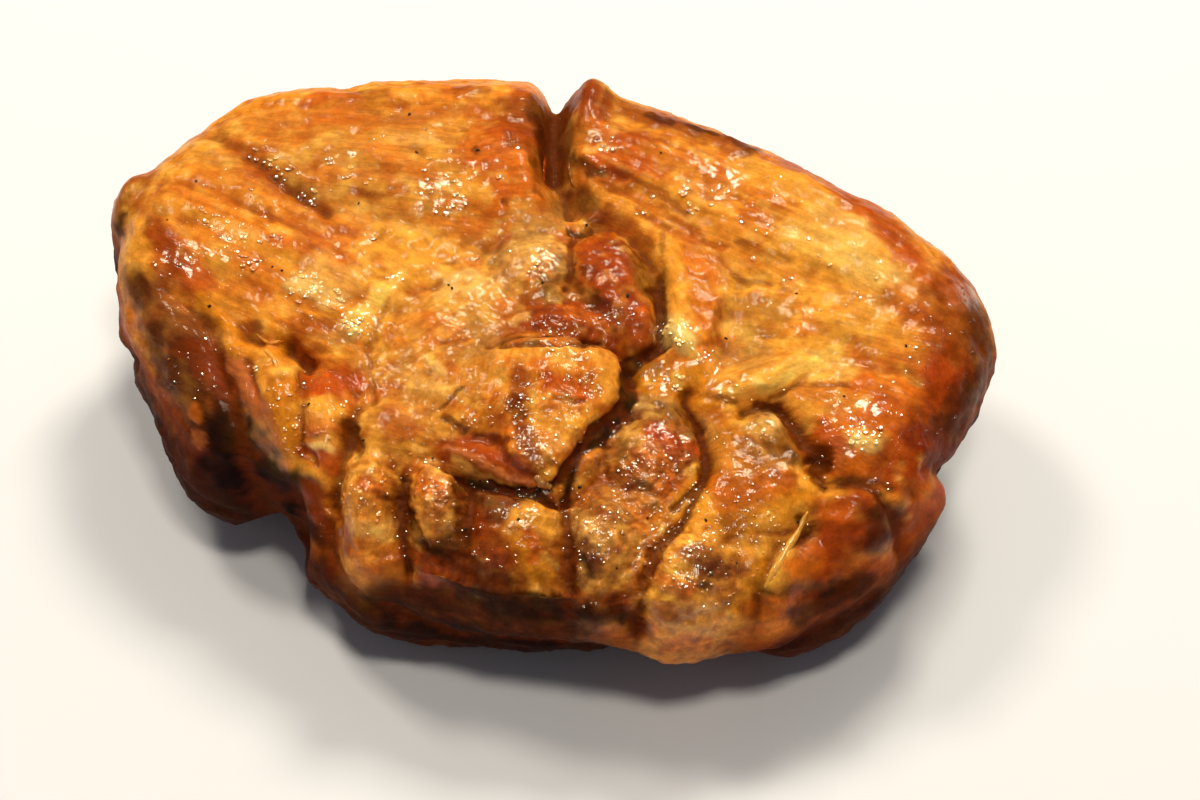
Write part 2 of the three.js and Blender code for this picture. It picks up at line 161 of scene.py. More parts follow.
hub = np.array(slab["hub"])
loop = catmullLoop(slab["outline"], 45) - hub
loopAngle = np.arctan2(loop[:, 1], loop[:, 0])
loopOrder = np.argsort(loopAngle)
loopAngle, loopReach = loopAngle[loopOrder], np.hypot(loop[:, 0], loop[:, 1])[loopOrder]


def edgeRadius(angle):
    return np.interp(angle, loopAngle, loopReach, period=2 * math.pi)


def smoothMin(a, b, softness):
    h = np.maximum(softness - np.abs(a - b), 0) / softness
    return np.minimum(a, b) - h * h * softness / 4


def smoothStep(low, high, v):
    t = np.clip((v - low) / (high - low), 0, 1)
    return t * t * (3 - 2 * t)


def faceAt(y):
    return slab["faceHeight"] + slab["faceSlope"] * y


def turned(x, y, degrees):
    c, s = math.cos(math.radians(degrees)), math.sin(math.radians(degrees))
    return x * c + y * s, y * c - x * s


def latticeNoise(x, y, z, seed):
    # value noise on a hashed lattice, -1 to 1
    xi, yi, zi = np.floor(x), np.floor(y), np.floor(z)
    fx, fy, fz = x - xi, y - yi, z - zi
    fx, fy, fz = fx * fx * (3 - 2 * fx), fy * fy * (3 - 2 * fy), fz * fz * (3 - 2 * fz)
    xi, yi, zi = xi.astype(np.int64), yi.astype(np.int64), zi.astype(np.int64)
    total = 0.0
    for cx in (0, 1):
        hx = (xi + cx) * 374761393 + seed * 1013904223
        for cy in (0, 1):
            hy = hx + (yi + cy) * 668265263
            share = (fx if cx else 1 - fx) * (fy if cy else 1 - fy)
            for cz in (0, 1):
                h = (hy + (zi + cz) * 1274126177) & 0xFFFFFFFF
                h = ((h ^ (h >> 13)) * 1103515245) & 0xFFFFFFFF
                h = (h ^ (h >> 16)) & 0xFFFF
                total = total + share * (fz if cz else 1 - fz) * (h / 32767.5 - 1)
    return total


def waves(x, y, z):
    return (latticeNoise(x / 13, y / 13, z / 13, 1) + 0.55 * latticeNoise(x / 6.1 + 7, y / 6.1, z / 6.1, 2)
            + 0.25 * latticeNoise(x / 3.1, y / 3.1 + 5, z / 3.1, 3))


def relief(x, y, uneven):
    total = np.full(len(x), -slab["faceDrop"])
    for x0, y0, long, wide, turn, rise, fall, edge, ripple, *looks in pads.values():
        u, v = turned(x - x0, y - y0, turn)
        s = (u / long) ** 2 + (v / wide) ** 2
        near = s < 6
        height = rise - fall * s ** (edge / 2)
        if ripple:
            height = height + ripple * np.sin(2 * math.pi * v / slab["rippleSpacing"] + 1.5 * uneven)
        total = np.where(near, -smoothMin(-total, -height, slab["seamBlend"]), total)
    return total


def planDistance(x, y, points):
    best = np.full(len(x), 1e9)
    for (ax, ay), (bx, by) in zip(points[:-1], points[1:]):
        dx, dy = bx - ax, by - ay
        t = np.clip(((x - ax) * dx + (y - ay) * dy) / (dx * dx + dy * dy), 0, 1)
        best = np.minimum(best, np.hypot(x - ax - t * dx, y - ay - t * dy))
    return best


def crackDepth(x, y, names):
    total = np.zeros(len(x))
    for depth, halfWidth, points in (cracks[name] for name in names):
        total = np.maximum(total, depth * np.exp(-(planDistance(x, y, points) / halfWidth) ** 2))
    return total


def seamDepth(angle, z):
    total = np.zeros(len(z))
    degreesAround = np.degrees(angle)
    for depth, halfWidth, points in wallSeams.values():
        far = planDistance(degreesAround, z, points)
        total = np.maximum(total, depth * np.exp(-(far / halfWidth) ** 2))
    return total


def eggDistance(u, v, w, long, wide, deep):
    # about how far each point is from an egg with these half sizes, below zero inside
    k = np.sqrt((u / long) ** 2 + (v / wide) ** 2 + (w / deep) ** 2) + 1e-6
    return np.sqrt(u * u + v * v + w * w) * (1 - 1 / k)


def meatField(p):
    # below zero inside the meat, above zero outside
    x, y, z = p[:, 0], p[:, 1], p[:, 2]
    uneven = waves(x, y, z)
    across = np.hypot(x - hub[0], y - hub[1])
    angle = np.arctan2(y - hub[1], x - hub[0])
    top = faceAt(y) + relief(x, y, uneven) + slab["faceWaves"] * uneven
    girth = slab["girthHeight"]
    below = np.clip((girth - z) / girth, 0, 1)
    above = np.clip((z - girth) / 14, 0, 1.5)
    wall = across - edgeRadius(angle) + slab["footInset"] * below ** 1.5 + slab["topInset"] * above ** 2
    upper = z > girth
    corner = np.where(upper, slab["topCorner"], slab["bottomCorner"])
    a = wall + slab["wallWaves"] * uneven + corner
    b = np.where(upper, z - top, -z) + corner
    f = np.minimum(np.maximum(a, b), 0) + np.hypot(np.maximum(a, 0), np.maximum(b, 0)) - corner
    softer = slab["lobeBlend"] * (1 + slab["softerLow"] * smoothStep(*slab["softerBand"], z))
    for x0, y0, long, wide, deep, turn, rise, *looks in lobes.values():
        near = np.flatnonzero(np.hypot(x - x0, y - y0) < max(long, wide) + 9)
        u, v = turned(x[near] - x0, y[near] - y0, turn)
        w = z[near] - (faceAt(y0) + rise - deep) - slab["faceSlope"] * (y[near] - y0)
        lobe = eggDistance(u, v, w, long, wide, deep) + slab["lobeWaves"] * uneven[near]
        f[near] = smoothMin(f[near], lobe, softer[near])
    for x0, y0, z0, long, wide, deep in hollows.values():
        f = -smoothMin(-f, eggDistance(x - x0, y - y0, z - z0, long, wide, deep), slab["lobeBlend"])
    others = [name for name in cracks if name != "notch"]
    f = f + crackDepth(x, y, ["notch"]) * smoothStep(*slab["notchFade"], z)
    f = f + crackDepth(x, y, others) * smoothStep(*slab["crackFade"], z)
    f = f + seamDepth(angle, z) * (across > slab["seamReach"]) * smoothStep(*slab["seamFade"], z)
    return np.maximum(f, -z)


def geodesic(n):
    # points and triangles of a ball, n edges to each side of the icosahedron
    g = (1 + 5 ** 0.5) / 2
    verts = np.array([(-1, g, 0), (1, g, 0), (-1, -g, 0), (1, -g, 0), (0, -1, g), (0, 1, g), (0, -1, -g),
                      (0, 1, -g), (g, 0, -1), (g, 0, 1), (-g, 0, -1), (-g, 0, 1)]) / math.hypot(1, g)
    faces = [(0, 11, 5), (0, 5, 1), (0, 1, 7), (0, 7, 10), (0, 10, 11), (1, 5, 9), (5, 11, 4), (11, 10, 2),
             (10, 7, 6), (7, 1, 8), (3, 9, 4), (3, 4, 2), (3, 2, 6), (3, 6, 8), (3, 8, 9), (4, 9, 5),
             (2, 4, 11), (6, 2, 10), (8, 6, 7), (9, 8, 1)]
    grid = [(i, j) for i in range(n + 1) for j in range(n + 1 - i)]
    at = {cell: k for k, cell in enumerate(grid)}
    cells = []
    for i in range(n):
        for j in range(n - i):
            cells.append((at[i, j], at[i + 1, j], at[i, j + 1]))
            if i + j < n - 1:
                cells.append((at[i + 1, j], at[i + 1, j + 1], at[i, j + 1]))
    grid, cells = np.array(grid, float) / n, np.array(cells)
    points = np.concatenate([verts[a] + grid[:, :1] * (verts[b] - verts[a])
                             + grid[:, 1:] * (verts[c] - verts[a]) for a, b, c in faces])
    points /= np.linalg.norm(points, axis=1)[:, None]
    triangles = np.concatenate([cells + k * len(grid) for k in range(len(faces))])
    _, first, same = np.unique(np.round(points * 1e6).astype(np.int64), axis=0, return_index=True,
                               return_inverse=True)
    return points[first], same.reshape(-1)[triangles]


mesher = {"detail": 99, "lidShare": 0.56, "wallShare": 0.30, "lid": 54.0, "low": -3.0, "clearance": 6.0,
          "coreShare": 0.5, "coreHeight": 16.0, "steps": 56, "halvings": 6, "rounds": 8}


def shrinkWrap():
    # a pillbox of points round the slice, drawn in until each one meets the meat
    directions, triangles = geodesic(mesher["detail"])
    share = np.arccos(np.clip(directions[:, 2], -1, 1)) / math.pi
    angle = np.arctan2(directions[:, 1], directions[:, 0])
    reach = edgeRadius(angle) + mesher["clearance"]
    lidShare, wallShare = mesher["lidShare"], mesher["wallShare"]
    onLid, onFoot = share < lidShare, share > lidShare + wallShare
    onFootSpread = (1 - share) / (1 - lidShare - wallShare)
    spread = np.where(onLid, share / lidShare, np.where(onFoot, onFootSpread, 1))
    height = mesher["lid"] + (mesher["low"] - mesher["lid"]) * (share - lidShare) / wallShare
    height = np.where(onLid, mesher["lid"], np.where(onFoot, mesher["low"], height))
    start = np.stack([hub[0] + spread * reach * np.cos(angle), hub[1] + spread * reach * np.sin(angle),
                      height], 1)
    goal = np.stack([hub[0] + (start[:, 0] - hub[0]) * mesher["coreShare"],
                     hub[1] + (start[:, 1] - hub[1]) * mesher["coreShare"],
                     np.full(len(start), mesher["coreHeight"])], 1)
    near, far = np.zeros(len(start)), np.ones(len(start))
    waiting = np.arange(len(start))
    for step in range(1, mesher["steps"] + 1):
        t = step / mesher["steps"]
        inside = meatField(start[waiting] + (goal[waiting] - start[waiting]) * t) <= 0
        far[waiting[inside]] = t
        near[waiting[inside]] = (step - 1) / mesher["steps"]
        waiting = waiting[~inside]
        if not len(waiting):
            break
    for _ in range(mesher["halvings"]):
        middle = (near + far) / 2
        inside = meatField(start + (goal - start) * middle[:, None]) <= 0
        far, near = np.where(inside, middle, far), np.where(inside, near, middle)
    return start + (goal - start) * ((near + far) / 2)[:, None], triangles


def slopeOf(p):
    h = 0.05
    f = meatField(p)
    return f, np.stack([meatField(p + shift) - f for shift in np.eye(3) * h], 1) / h


def neighbourMean(values):
    # mean over the neighbours of each point of the mesh
    values = values.reshape(len(values), -1)
    return np.stack([np.bincount(edgeFrom, weights=values[edgeTo, k], minlength=len(values)) / edgeCount
                     for k in range(values.shape[1])], 1)


def smoothed(values, rounds, amount=0.6):
    flat = values.reshape(len(values), -1)
    for _ in range(rounds):
        flat = flat + amount * (neighbourMean(flat) - flat)
    return flat.reshape(values.shape)


def normalsOf(p):
    a, b, c = p[triangles[:, 0]], p[triangles[:, 1]], p[triangles[:, 2]]
    face = np.cross(b - a, c - a)
    total = np.stack([sum(np.bincount(triangles[:, k], weights=face[:, i], minlength=len(p))
                          for k in range(3)) for i in range(3)], 1)
    return total / np.maximum(np.linalg.norm(total, axis=1), 1e-12)[:, None]


points, triangles = shrinkWrap()
edgeFrom = np.concatenate([triangles[:, 0], triangles[:, 1], triangles[:, 2]])
edgeTo = np.concatenate([triangles[:, 1], triangles[:, 2], triangles[:, 0]])
edgeCount = np.bincount(edgeFrom, minlength=len(points)).astype(float)
for _ in range(mesher["rounds"]):
    points = smoothed(points, 1)
    f, slope = slopeOf(points)
    step = np.clip(f / np.maximum((slope * slope).sum(1), 0.3), -1, 1)
    points = points - step[:, None] * slope
print("slice shrink-wrapped:", len(points), "points,", len(triangles), "triangles")
sliceMiddle = (points.min(0) + points.max(0)) / 2
x, y, z = points.T
normals = normalsOf(points)
drop = faceAt(y) - z
# a wall is read as if it lay folded out in front of the face
layX, layY = x, y - 0.93 * drop * smoothStep(62, 34, y)


def grain(ax, ay, az, octaves=1):
    # Perlin noise for every point, -1 to 1
    rows = np.stack([ax, ay, az], 1).tolist()
    if octaves == 1:
        return np.array([noise.noise(row) for row in rows])
    return np.array([noise.fractal(row, 0.7, 2.1, octaves) for row in rows])


def evenGrain(size, shift=0, octaves=1):
    return grain(x / size + shift, y / size, z / size, octaves)


def fibreGrain(length, width, shift=0, octaves=1):
    # drawn out along the fibres of each muscle
    return grain(along / length + shift, over / width, z / width, octaves)


# Frays the borders between tones
warpX = 1.1 * evenGrain(4.2) + 0.5 * grain(x / 1.4, y / 1.4 + 9, z / 1.4)
warpY = 1.1 * evenGrain(4.2, 20) + 0.5 * evenGrain(1.4, 20)

# Meat tones as they look under warm light, 0 to 255
tones = {
    "gold": (240, 160, 62), "amber": (226, 136, 46), "tan": (210, 134, 56), "orange": (208, 102, 22),
    "honey": (216, 128, 24), "fat": (253, 190, 98), "paleFat": (232, 162, 66), "pale": (238, 172, 100),
    "greyTan": (190, 132, 72), "greyBrown": (150, 98, 50), "pink": (196, 104, 58), "rust": (168, 64, 10),
    "brickRed": (180, 62, 10), "redBrown": (140, 54, 8), "brown": (146, 72, 18), "plum": (104, 46, 24),
    "mahogany": (82, 34, 8), "darkRed": (110, 30, 3), "nearBlack": (24, 9, 2), "char": (22, 11, 5),
    "cream": (252, 204, 134), "oliveBrown": (128, 78, 22),
}


def linear(rgb):
    c = np.array(rgb, float) / 255
    return np.where(c <= 0.04045, c / 12.92, ((c + 0.055) / 1.055) ** 2.4)


def stained(colour, toneName, share):
    return colour + (linear(tones[toneName]) - colour) * share[:, None]


# Which muscle each point belongs to, with frayed borders
claimReach = {"pad": 9, "lobe": 0.9, "fray": 0.8}
frayedX, frayedY = x + claimReach["fray"] * warpX, y + claimReach["fray"] * warpY
highest = np.full(len(x), -1e9)
tone = np.tile(linear(tones["rust"]), (len(x), 1))
crust, fibre = np.full(len(x), 0.2), np.full(len(x), 0.6)
along, over = x.copy(), y.copy()


def claim(chosen, toneName, crustAmount, fibreAmount, direction):
    tone[chosen] = linear(tones[toneName])
    crust[chosen], fibre[chosen] = crustAmount, fibreAmount
    along[chosen], over[chosen] = turned(x[chosen], y[chosen], direction)


for x0, y0, long, wide, turn, rise, fall, edge, ripple, *looks in pads.values():
    u, v = turned(frayedX - x0, frayedY - y0, turn)
    height = rise - fall * ((u / long) ** 2 + (v / wide) ** 2) ** (edge / 2)
    chosen = (height > highest) & (drop < claimReach["pad"])
    highest = np.where(chosen, height, highest)
    claim(chosen, *looks)
nearest = np.full(len(x), claimReach["lobe"])
for x0, y0, long, wide, deep, turn, rise, *looks in lobes.values():
    u, v = turned(frayedX - x0, frayedY - y0, turn)
    w = z - (faceAt(y0) + rise - deep) - slab["faceSlope"] * (y - y0)
    gap = eggDistance(u, v, w, long, wide, deep)
    chosen = gap < nearest
    nearest = np.where(chosen, gap, nearest)
    claim(chosen, *looks)


# The outer skin below the rim: darker, in patches. Patches: width, height, shift, level
skinLook = {
    "under": (7, 15), "onLobes": 0.4, "lowOnLobes": 0.55, "lowBand": (13, 24),
    "patches": {"redBrown": (15, 9, 0, 0.05), "rust": (11, 8, 5, 0.36), "mahogany": (8, 6, 30, 0.25)},
}
onLobes = skinLook["onLobes"] + skinLook["lowOnLobes"] * smoothStep(*skinLook["lowBand"], drop)
skin = smoothStep(*skinLook["under"], drop) * np.where(nearest < claimReach["lobe"], onLobes, 1.0)
skinTone = linear(tones["brown"])
for toneName, (width, height, shift, level) in skinLook["patches"].items():
    patch = grain(x / width + shift, y / width, z / height) > level
    skinTone = np.where(patch[:, None], linear(tones[toneName]), skinTone)
tone = smoothed(tone + (skinTone - tone) * skin[:, None], 12)
crust, fibre = smoothed(crust, 6), smoothed(fibre, 6)

# Browning in patches, small blotches and along the fibres: tone, strength, cover
patchy = evenGrain(9, 50, 3)
blotch = evenGrain(3.4, 80, 2)
streaky = fibreGrain(6, 1.3, 8, 2) * np.clip(fibre + 0.2, 0, 1)
onFace = smoothStep(12, 5, drop)
browning = [
    ("orange", 0.55, smoothStep(0.0, 0.5, patchy)),
    ("gold", 0.36, smoothStep(-0.05, -0.55, patchy) * onFace),
    ("rust", 0.42, smoothStep(0.12, 0.5, blotch)),
    ("fat", 0.42, smoothStep(-0.12, -0.5, blotch) * onFace),
    ("redBrown", 0.26, smoothStep(0.15, 0.55, streaky)),
    ("pale", 0.30, smoothStep(-0.15, -0.55, streaky) * onFace),
]
for toneName, strength, cover in browning:
    tone = stained(tone, toneName, strength * cover)
print("muscles, skin and browning coloured")

# Marks on the meat: tone, strength, half width, rise, plan points (a wall lies folded out)
marks = {
    "left lobe": [
        ("rust", 0.5, 3, 0, [(-69, 32), (-65, 36)]),
        ("brickRed", 0.75, 3.4, 0, [(-67, 26), (-65, 21), (-60, 17)]),
        ("redBrown", 0.7, 2.2, 0, [(-69, 29), (-66, 24), (-63, 20)]),
        ("gold", 0.55, 1.6, 0.2, [(-73.5, 24), (-72.5, 17.5), (-70, 12.5)]),
        ("gold", 0.6, 2, 0, [(-73, 30), (-72, 25)]),
        ("char", 0.85, 1, 0, [(-74.5, 31), (-75.5, 28.5), (-74.5, 26)]),
        ("mahogany", 0.7, 0.9, -0.3, [(-70, 16), (-69, 13.5)]),
        ("gold", 0.5, 2.4, 0.1, [(-67, 33), (-60, 29), (-52, 24), (-45, 20)]),
        ("gold", 0.5, 2.2, 0.1, [(-57, 20), (-53, 15), (-49, 11)]),
        ("orange", 0.55, 0.9, -0.1, [(-63.5, 34.5), (-54.5, 30), (-47, 26), (-40, 21.5)]),
        ("rust", 0.45, 0.8, -0.15, [(-61, 37), (-52.5, 32.5), (-45.5, 28.5), (-38.5, 26)]),
        ("orange", 0.45, 1, -0.1, [(-65, 31), (-56, 25.5), (-49.5, 21)]),
        ("rust", 0.4, 2.2, 0, [(-44, 29), (-42, 24), (-42, 20)]),
        ("orange", 0.45, 2.6, 0, [(-49, 18), (-45, 15), (-43, 12)]),
        ("honey", 0.75, 1.8, 0.2, [(-58.5, 12.5), (-54.5, 8), (-52, 5)]),
        ("brickRed", 0.4, 2.6, 0, [(-54, 16), (-50, 14)]),
        ("pale", 0.45, 1.3, 0.15, [(-55, 28), (-50, 26)]),
    ],
    "back left": [
        ("orange", 0.4, 2.4, 0, [(-60, 38), (-54, 34)]),
        ("rust", 0.4, 1.4, -0.1, [(-54.5, 45), (-48.5, 38), (-44, 34.5), (-39.5, 31)]),
        ("rust", 0.4, 2.0, 0, [(-56, 47), (-51, 40), (-44, 32), (-39, 30)]),
        ("tan", 0.5, 4.0, 0, [(-38, 50), (-22, 50)]),
        ("orange", 0.35, 2.2, 0, [(-53, 51), (-45, 53), (-36, 53)]),
        ("rust", 0.35, 1.5, -0.2, [(-51.5, 48.5), (-42, 51.5), (-32.5, 50.5), (-22.5, 53), (-14, 54.5)]),
        ("orange", 0.45, 1.8, 0, [(-42, 53.5), (-36.5, 52.5), (-32.5, 51)]),
        ("brickRed", 0.55, 1.4, 0, [(-45, 56), (-40, 57.5), (-36, 56.5)]),
        ("brown", 0.6, 1.2, 0, [(-36.5, 58), (-30.5, 58)]),
        ("redBrown", 0.55, 1.3, 0.2, [(-18, 58.5), (-12.5, 59)]),
        ("redBrown", 0.75, 3.4, 0, [(-7, 56), (-6, 53), (-3, 49), (-2, 46)]),
        ("rust", 0.55, 2.4, 0, [(-15, 54), (-12, 51), (-7, 47)]),
        ("redBrown", 0.6, 3, 0, [(-8, 50), (-6, 47)]),
        ("mahogany", 0.7, 2.4, 0, [(-3.5, 57), (-3, 51)]),
        # painted shade: the dark line down the notch
        ("mahogany", 0.92, 3.0, -0.4, [(0, 57), (-1, 51), (-1, 45), (-1, 40)]),
        ("orange", 0.7, 2.2, 0.1, [(-9, 42), (-5, 39), (-4, 36)]),
        ("brown", 0.6, 0.9, -0.3, [(-8.5, 47), (-5, 44.5), (-3, 40), (-3.5, 35.5)]),
        ("gold", 0.5, 2.6, 0, [(-23, 42), (-19, 40), (-15, 37)]),
        ("brown", 0.6, 0.9, -0.2, [(-25, 44.5), (-24, 44)]),
        ("char", 0.55, 0.6, 0, [(-14, 45), (-13.5, 44.5)]),
        ("char", 0.6, 0.6, 0, [(-9.5, 33.5), (-9, 33)]),
        ("orange", 0.4, 2, 0, [(-31, 44), (-27, 41), (-22, 40)]),
        ("rust", 0.55, 1, -0.15, [(-35, 36.5), (-30.5, 35), (-26.5, 36.5)]),
        ("orange", 0.55, 1.6, 0, [(-21.5, 29.5), (-18, 28), (-14.5, 28.5)]),
        ("rust", 0.5, 1.4, -0.1, [(-37, 28), (-33, 26.5), (-30, 25), (-25.5, 22.5)]),
        ("orange", 0.5, 1.6, 0, [(-20, 33.5), (-15, 32.5), (-9.5, 31)]),
        ("pale", 0.4, 1.8, 0, [(-27.5, 46.5), (-23, 47)]),
        ("pink", 0.35, 1.6, 0, [(-6.5, 44.5), (-10, 45)]),
    ],
    "left middle": [
        ("gold", 0.6, 3.2, 0, [(-30, 25), (-25, 23), (-21, 25)]),
        # painted highlight: the cream mark lightens the spot where the glints cluster
        ("cream", 0.65, 1.8, 0.25, [(-43, 16), (-40, 15), (-37.5, 13.5)]),
        ("pale", 0.5, 3, 0.2, [(-40, 20), (-36, 17), (-37, 14)]),
        ("fat", 0.85, 2.2, 0.4, [(-36, 6), (-33, 8), (-31, 11), (-29, 15)]),
        ("fat", 0.8, 1.5, 0.3, [(-28.5, 11.5), (-27, 16), (-25.5, 18)]),
        ("cream", 0.6, 1, 0.3, [(-35, 7), (-33.5, 6.5)]),
        ("gold", 0.8, 1.4, 0.1, [(-21.5, 23), (-23.5, 19), (-26.5, 14), (-29, 9), (-31, 5)]),
        ("brown", 0.6, 1, -0.3, [(-20.5, 15.5), (-19.5, 16)]),
        ("brown", 0.55, 0.8, -0.2, [(-18.5, 20), (-17.5, 20.5)]),
        # painted shade: the dark red and near-black marks fill the two pits
        ("darkRed", 0.65, 1.5, -0.3, [(-44.5, 3.5), (-42.5, 1.5), (-40.5, 0)]),
        ("nearBlack", 0.6, 1, -0.4, [(-42, 0.5), (-40, -0.5)]),
        ("darkRed", 0.6, 1.3, -0.2, [(-52, 8), (-50, 7)]),
        ("honey", 0.8, 0.8, 0.5, [(-47, 7), (-45.5, 3.5), (-46.5, 1)]),
        ("rust", 0.6, 1.9, 0, [(-44, 8), (-39, 7), (-36, 6)]),
        ("redBrown", 0.6, 1.5, 0, [(-41, 9), (-38, 8)]),
    ],
    "left strips": [
        ("tan", 0.7, 2.6, 0.2, [(-52, -1), (-49.5, -7), (-46.5, -12.5)]),
        # painted shade: the dark red mark darkens the low wall
        ("darkRed", 0.7, 3.0, 0, [(-57, -6), (-57, -12), (-58.5, -18)]),
        ("amber", 0.85, 2.3, 0.5, [(-46, -2), (-45, -2), (-43, -3)]),
        ("fat", 0.6, 1.2, 0.5, [(-45, -2), (-43.5, -2)]),
        ("honey", 0.85, 2.4, 0.3, [(-45, -6), (-44, -10), (-43, -15)]),
        ("gold", 0.7, 1.6, 0.3, [(-43.5, -18), (-40.5, -21.5), (-37, -23.5)]),
        ("brown", 0.65, 0.6, -0.5, [(-42, -3), (-41.5, -8.5), (-40.5, -15), (-38.5, -20)]),
        ("pink", 0.55, 1.2, 0.1, [(-47, -9.5), (-45.5, -15), (-43, -20)]),
        ("rust", 0.55, 2.2, 0, [(-40, -2), (-35, -1), (-33, -4)]),
        ("brickRed", 0.65, 2.4, 0, [(-39, -5), (-34, -3)]),
        ("paleFat", 0.7, 2.4, 0.3, [(-40, -9), (-38, -8), (-36, -10)]),
        ("pink", 0.45, 2, 0.2, [(-40, -11), (-36, -12)]),
        ("brickRed", 0.7, 2, 0, [(-39, -17), (-36, -18), (-36, -20)]),
        # painted highlight: the cream mark lightens a glint
        ("cream", 0.65, 0.9, 0.2, [(-38.5, -16), (-36.5, -16.5)]),
        ("mahogany", 0.8, 1.3, -0.5, [(-33.5, -12), (-33, -15), (-31.5, -17)]),
        ("pink", 0.8, 2.4, 0.4, [(-53, 0), (-51, -4), (-48, -9)]),
        ("redBrown", 0.65, 0.8, -0.4, [(-50.5, 0), (-48.5, -5), (-47, -9.5)]),
        ("honey", 0.5, 1.2, 0.2, [(-52.5, 3), (-50, 2), (-48, 0)]),
        ("plum", 0.8, 4.2, 0, [(-69, 14), (-66, 9), (-60, 6)]),
        ("plum", 0.8, 3.6, 0.2, [(-61, 3), (-57, -1), (-54, -6)]),
        ("darkRed", 0.65, 3.2, 0, [(-58, 2), (-54, -3), (-51, -8)]),
        ("mahogany", 0.75, 3.4, 0, [(-62, 0), (-61, -7), (-59, -15)]),
        # painted shadow: near-black fills the hollow under the strips
        ("nearBlack", 0.94, 5.4, 0, [(-54, -14), (-50, -21), (-44, -26), (-40, -31)]),
        ("nearBlack", 0.8, 3.5, 0, [(-56, -21), (-50, -26)]),
        ("orange", 0.7, 1.2, 0.3, [(-59.5, -10), (-59.5, -11.5)]),
        ("pink", 0.6, 1.2, 0.3, [(-59, -15), (-59, -17.5)]),
        ("pink", 0.85, 2.0, 0, [(-52, -1), (-50, -4.5), (-48, -9)]),
        ("mahogany", 0.85, 2.6, 0, [(-67, 6), (-66, 0), (-64, -5)]),
        ("mahogany", 0.6, 2.2, 0, [(-72, 18), (-70, 13)]),
        ("redBrown", 0.6, 2.2, 0, [(-61, 3), (-58, -2)]),
        ("brown", 0.35, 2.2, 0, [(-45, -4), (-44, -7)]),
        ("redBrown", 0.85, 2.8, 0, [(-39, -26), (-37, -30), (-34, -35)]),
        ("honey", 0.5, 0.9, 0.2, [(-36.5, -27.5), (-35, -32)]),
    ],
    "centre left": [
        ("cream", 0.55, 1.2, 0.3, [(-17.5, 16), (-15, 18), (-12, 17), (-14.5, 14.5)]),
        ("pale", 0.6, 1.6, 0.2, [(-19.5, 14), (-15.5, 15.5), (-11, 14.5)]),
        ("pale", 0.5, 1.5, 0.2, [(-24, -2), (-21.5, -4.5), (-18.5, -5.5)]),
        ("cream", 0.4, 0.8, 0.2, [(-20.5, 0), (-18, -2)]),
        ("nearBlack", 0.7, 0.35, -0.3, [(-15, -4.5), (-17, -6.5), (-19, -9)]),
        ("brown", 0.6, 0.5, -0.3, [(-19, 4.5), (-14, 5.5)]),
        ("orange", 0.35, 3, 0, [(-26, 6), (-21, 7), (-17, 6)]),
        ("brown", 0.45, 0.6, -0.3, [(-28.5, 12.5), (-30.5, 5), (-31, -2), (-29.5, -7.5)]),
        ("greyTan", 0.6, 2.4, 0, [(-14, 8), (-11, 6), (-11, 3)]),
        ("greyBrown", 0.5, 2, 0, [(-17, 3), (-13, 2)]),
        ("pink", 0.4, 2.4, 0, [(-27, -10), (-25, -12)]),
        ("rust", 0.55, 2.4, 0, [(-27, -10), (-25, -13)]),
        ("rust", 0.45, 1.4, 0, [(-29, -5), (-25.5, -6)]),
        ("tan", 0.5, 2.6, 0, [(-25, -7), (-21, -9)]),
    ],
    "centre crust": [
        ("pale", 0.4, 1.6, 0.2, [(-4.5, 20.5), (-2, 18.5), (0.5, 18)]),
        ("pale", 0.6, 3, 0.1, [(-7, 20), (-4, 23), (0, 22)]),
        ("greyTan", 0.6, 2.4, 0, [(-6, 28), (0, 30)]),
        ("oliveBrown", 0.55, 2, 0, [(1, 20), (2, 17), (-1, 16)]),
        # painted shade: the near-black mark fills a small hole
        ("nearBlack", 0.8, 0.8, -0.6, [(2, 27), (3.5, 26.5), (5.5, 27.5)]),
        ("mahogany", 0.7, 0.7, -0.6, [(2.5, 25.5), (2.5, 19), (1.5, 14.5)]),
        ("mahogany", 0.8, 1.6, -0.6, [(4, 14), (6, 12.5), (8, 11.5)]),
        ("brickRed", 0.55, 2.6, 0, [(8, 17), (11, 15), (13, 12)]),
        ("rust", 0.6, 2.2, 0, [(6, 23), (9, 22), (12, 20)]),
        ("oliveBrown", 0.75, 2, 0, [(14, 21), (15, 18), (16, 15)]),
        ("redBrown", 0.75, 2.4, 0, [(9, 10), (11, 8), (14, 7)]),
        ("redBrown", 0.7, 2.4, 0, [(-8, 6), (-3, 9), (3, 7), (7, 6)]),
        ("pale", 0.45, 0.8, 0.3, [(-6.5, 8), (-4.5, 9.5)]),
        ("orange", 0.5, 1.2, 0.3, [(2.5, 10), (5.5, 9), (8.5, 7)]),
        ("amber", 0.6, 1.8, 0, [(14, 27), (14.5, 24)]),
        ("tan", 0.5, 2, 0, [(1, 15), (4, 14)]),
        # painted shade: the dark line along the round muscle's edge crack
        ("mahogany", 0.9, 1.1, -0.6, [(16.5, 14.5), (17.5, 9), (17.5, 4), (14, 1), (11.5, 0)]),
        ("mahogany", 0.75, 2.2, -0.2, [(3, 36), (5, 33), (7, 31)]),
        ("redBrown", 0.6, 2, 0, [(7, 31), (12, 28), (14, 25)]),
        ("greyBrown", 0.5, 2, 0, [(0, 33), (3, 31)]),
        # painted shade: the dark marks along the slits under the flap's top edge
        ("nearBlack", 0.85, 0.6, -0.5, [(4.5, 4), (7, 4)]),
        ("mahogany", 0.7, 0.6, -0.4, [(-8.5, 3.5), (-2.5, 5), (4, 4)]),
    ],
    "knob": [
        ("redBrown", 0.6, 3.4, 0, [(5, 57), (6, 52)]),
        ("brown", 0.6, 2.0, 0, [(3, 49), (5, 47)]),
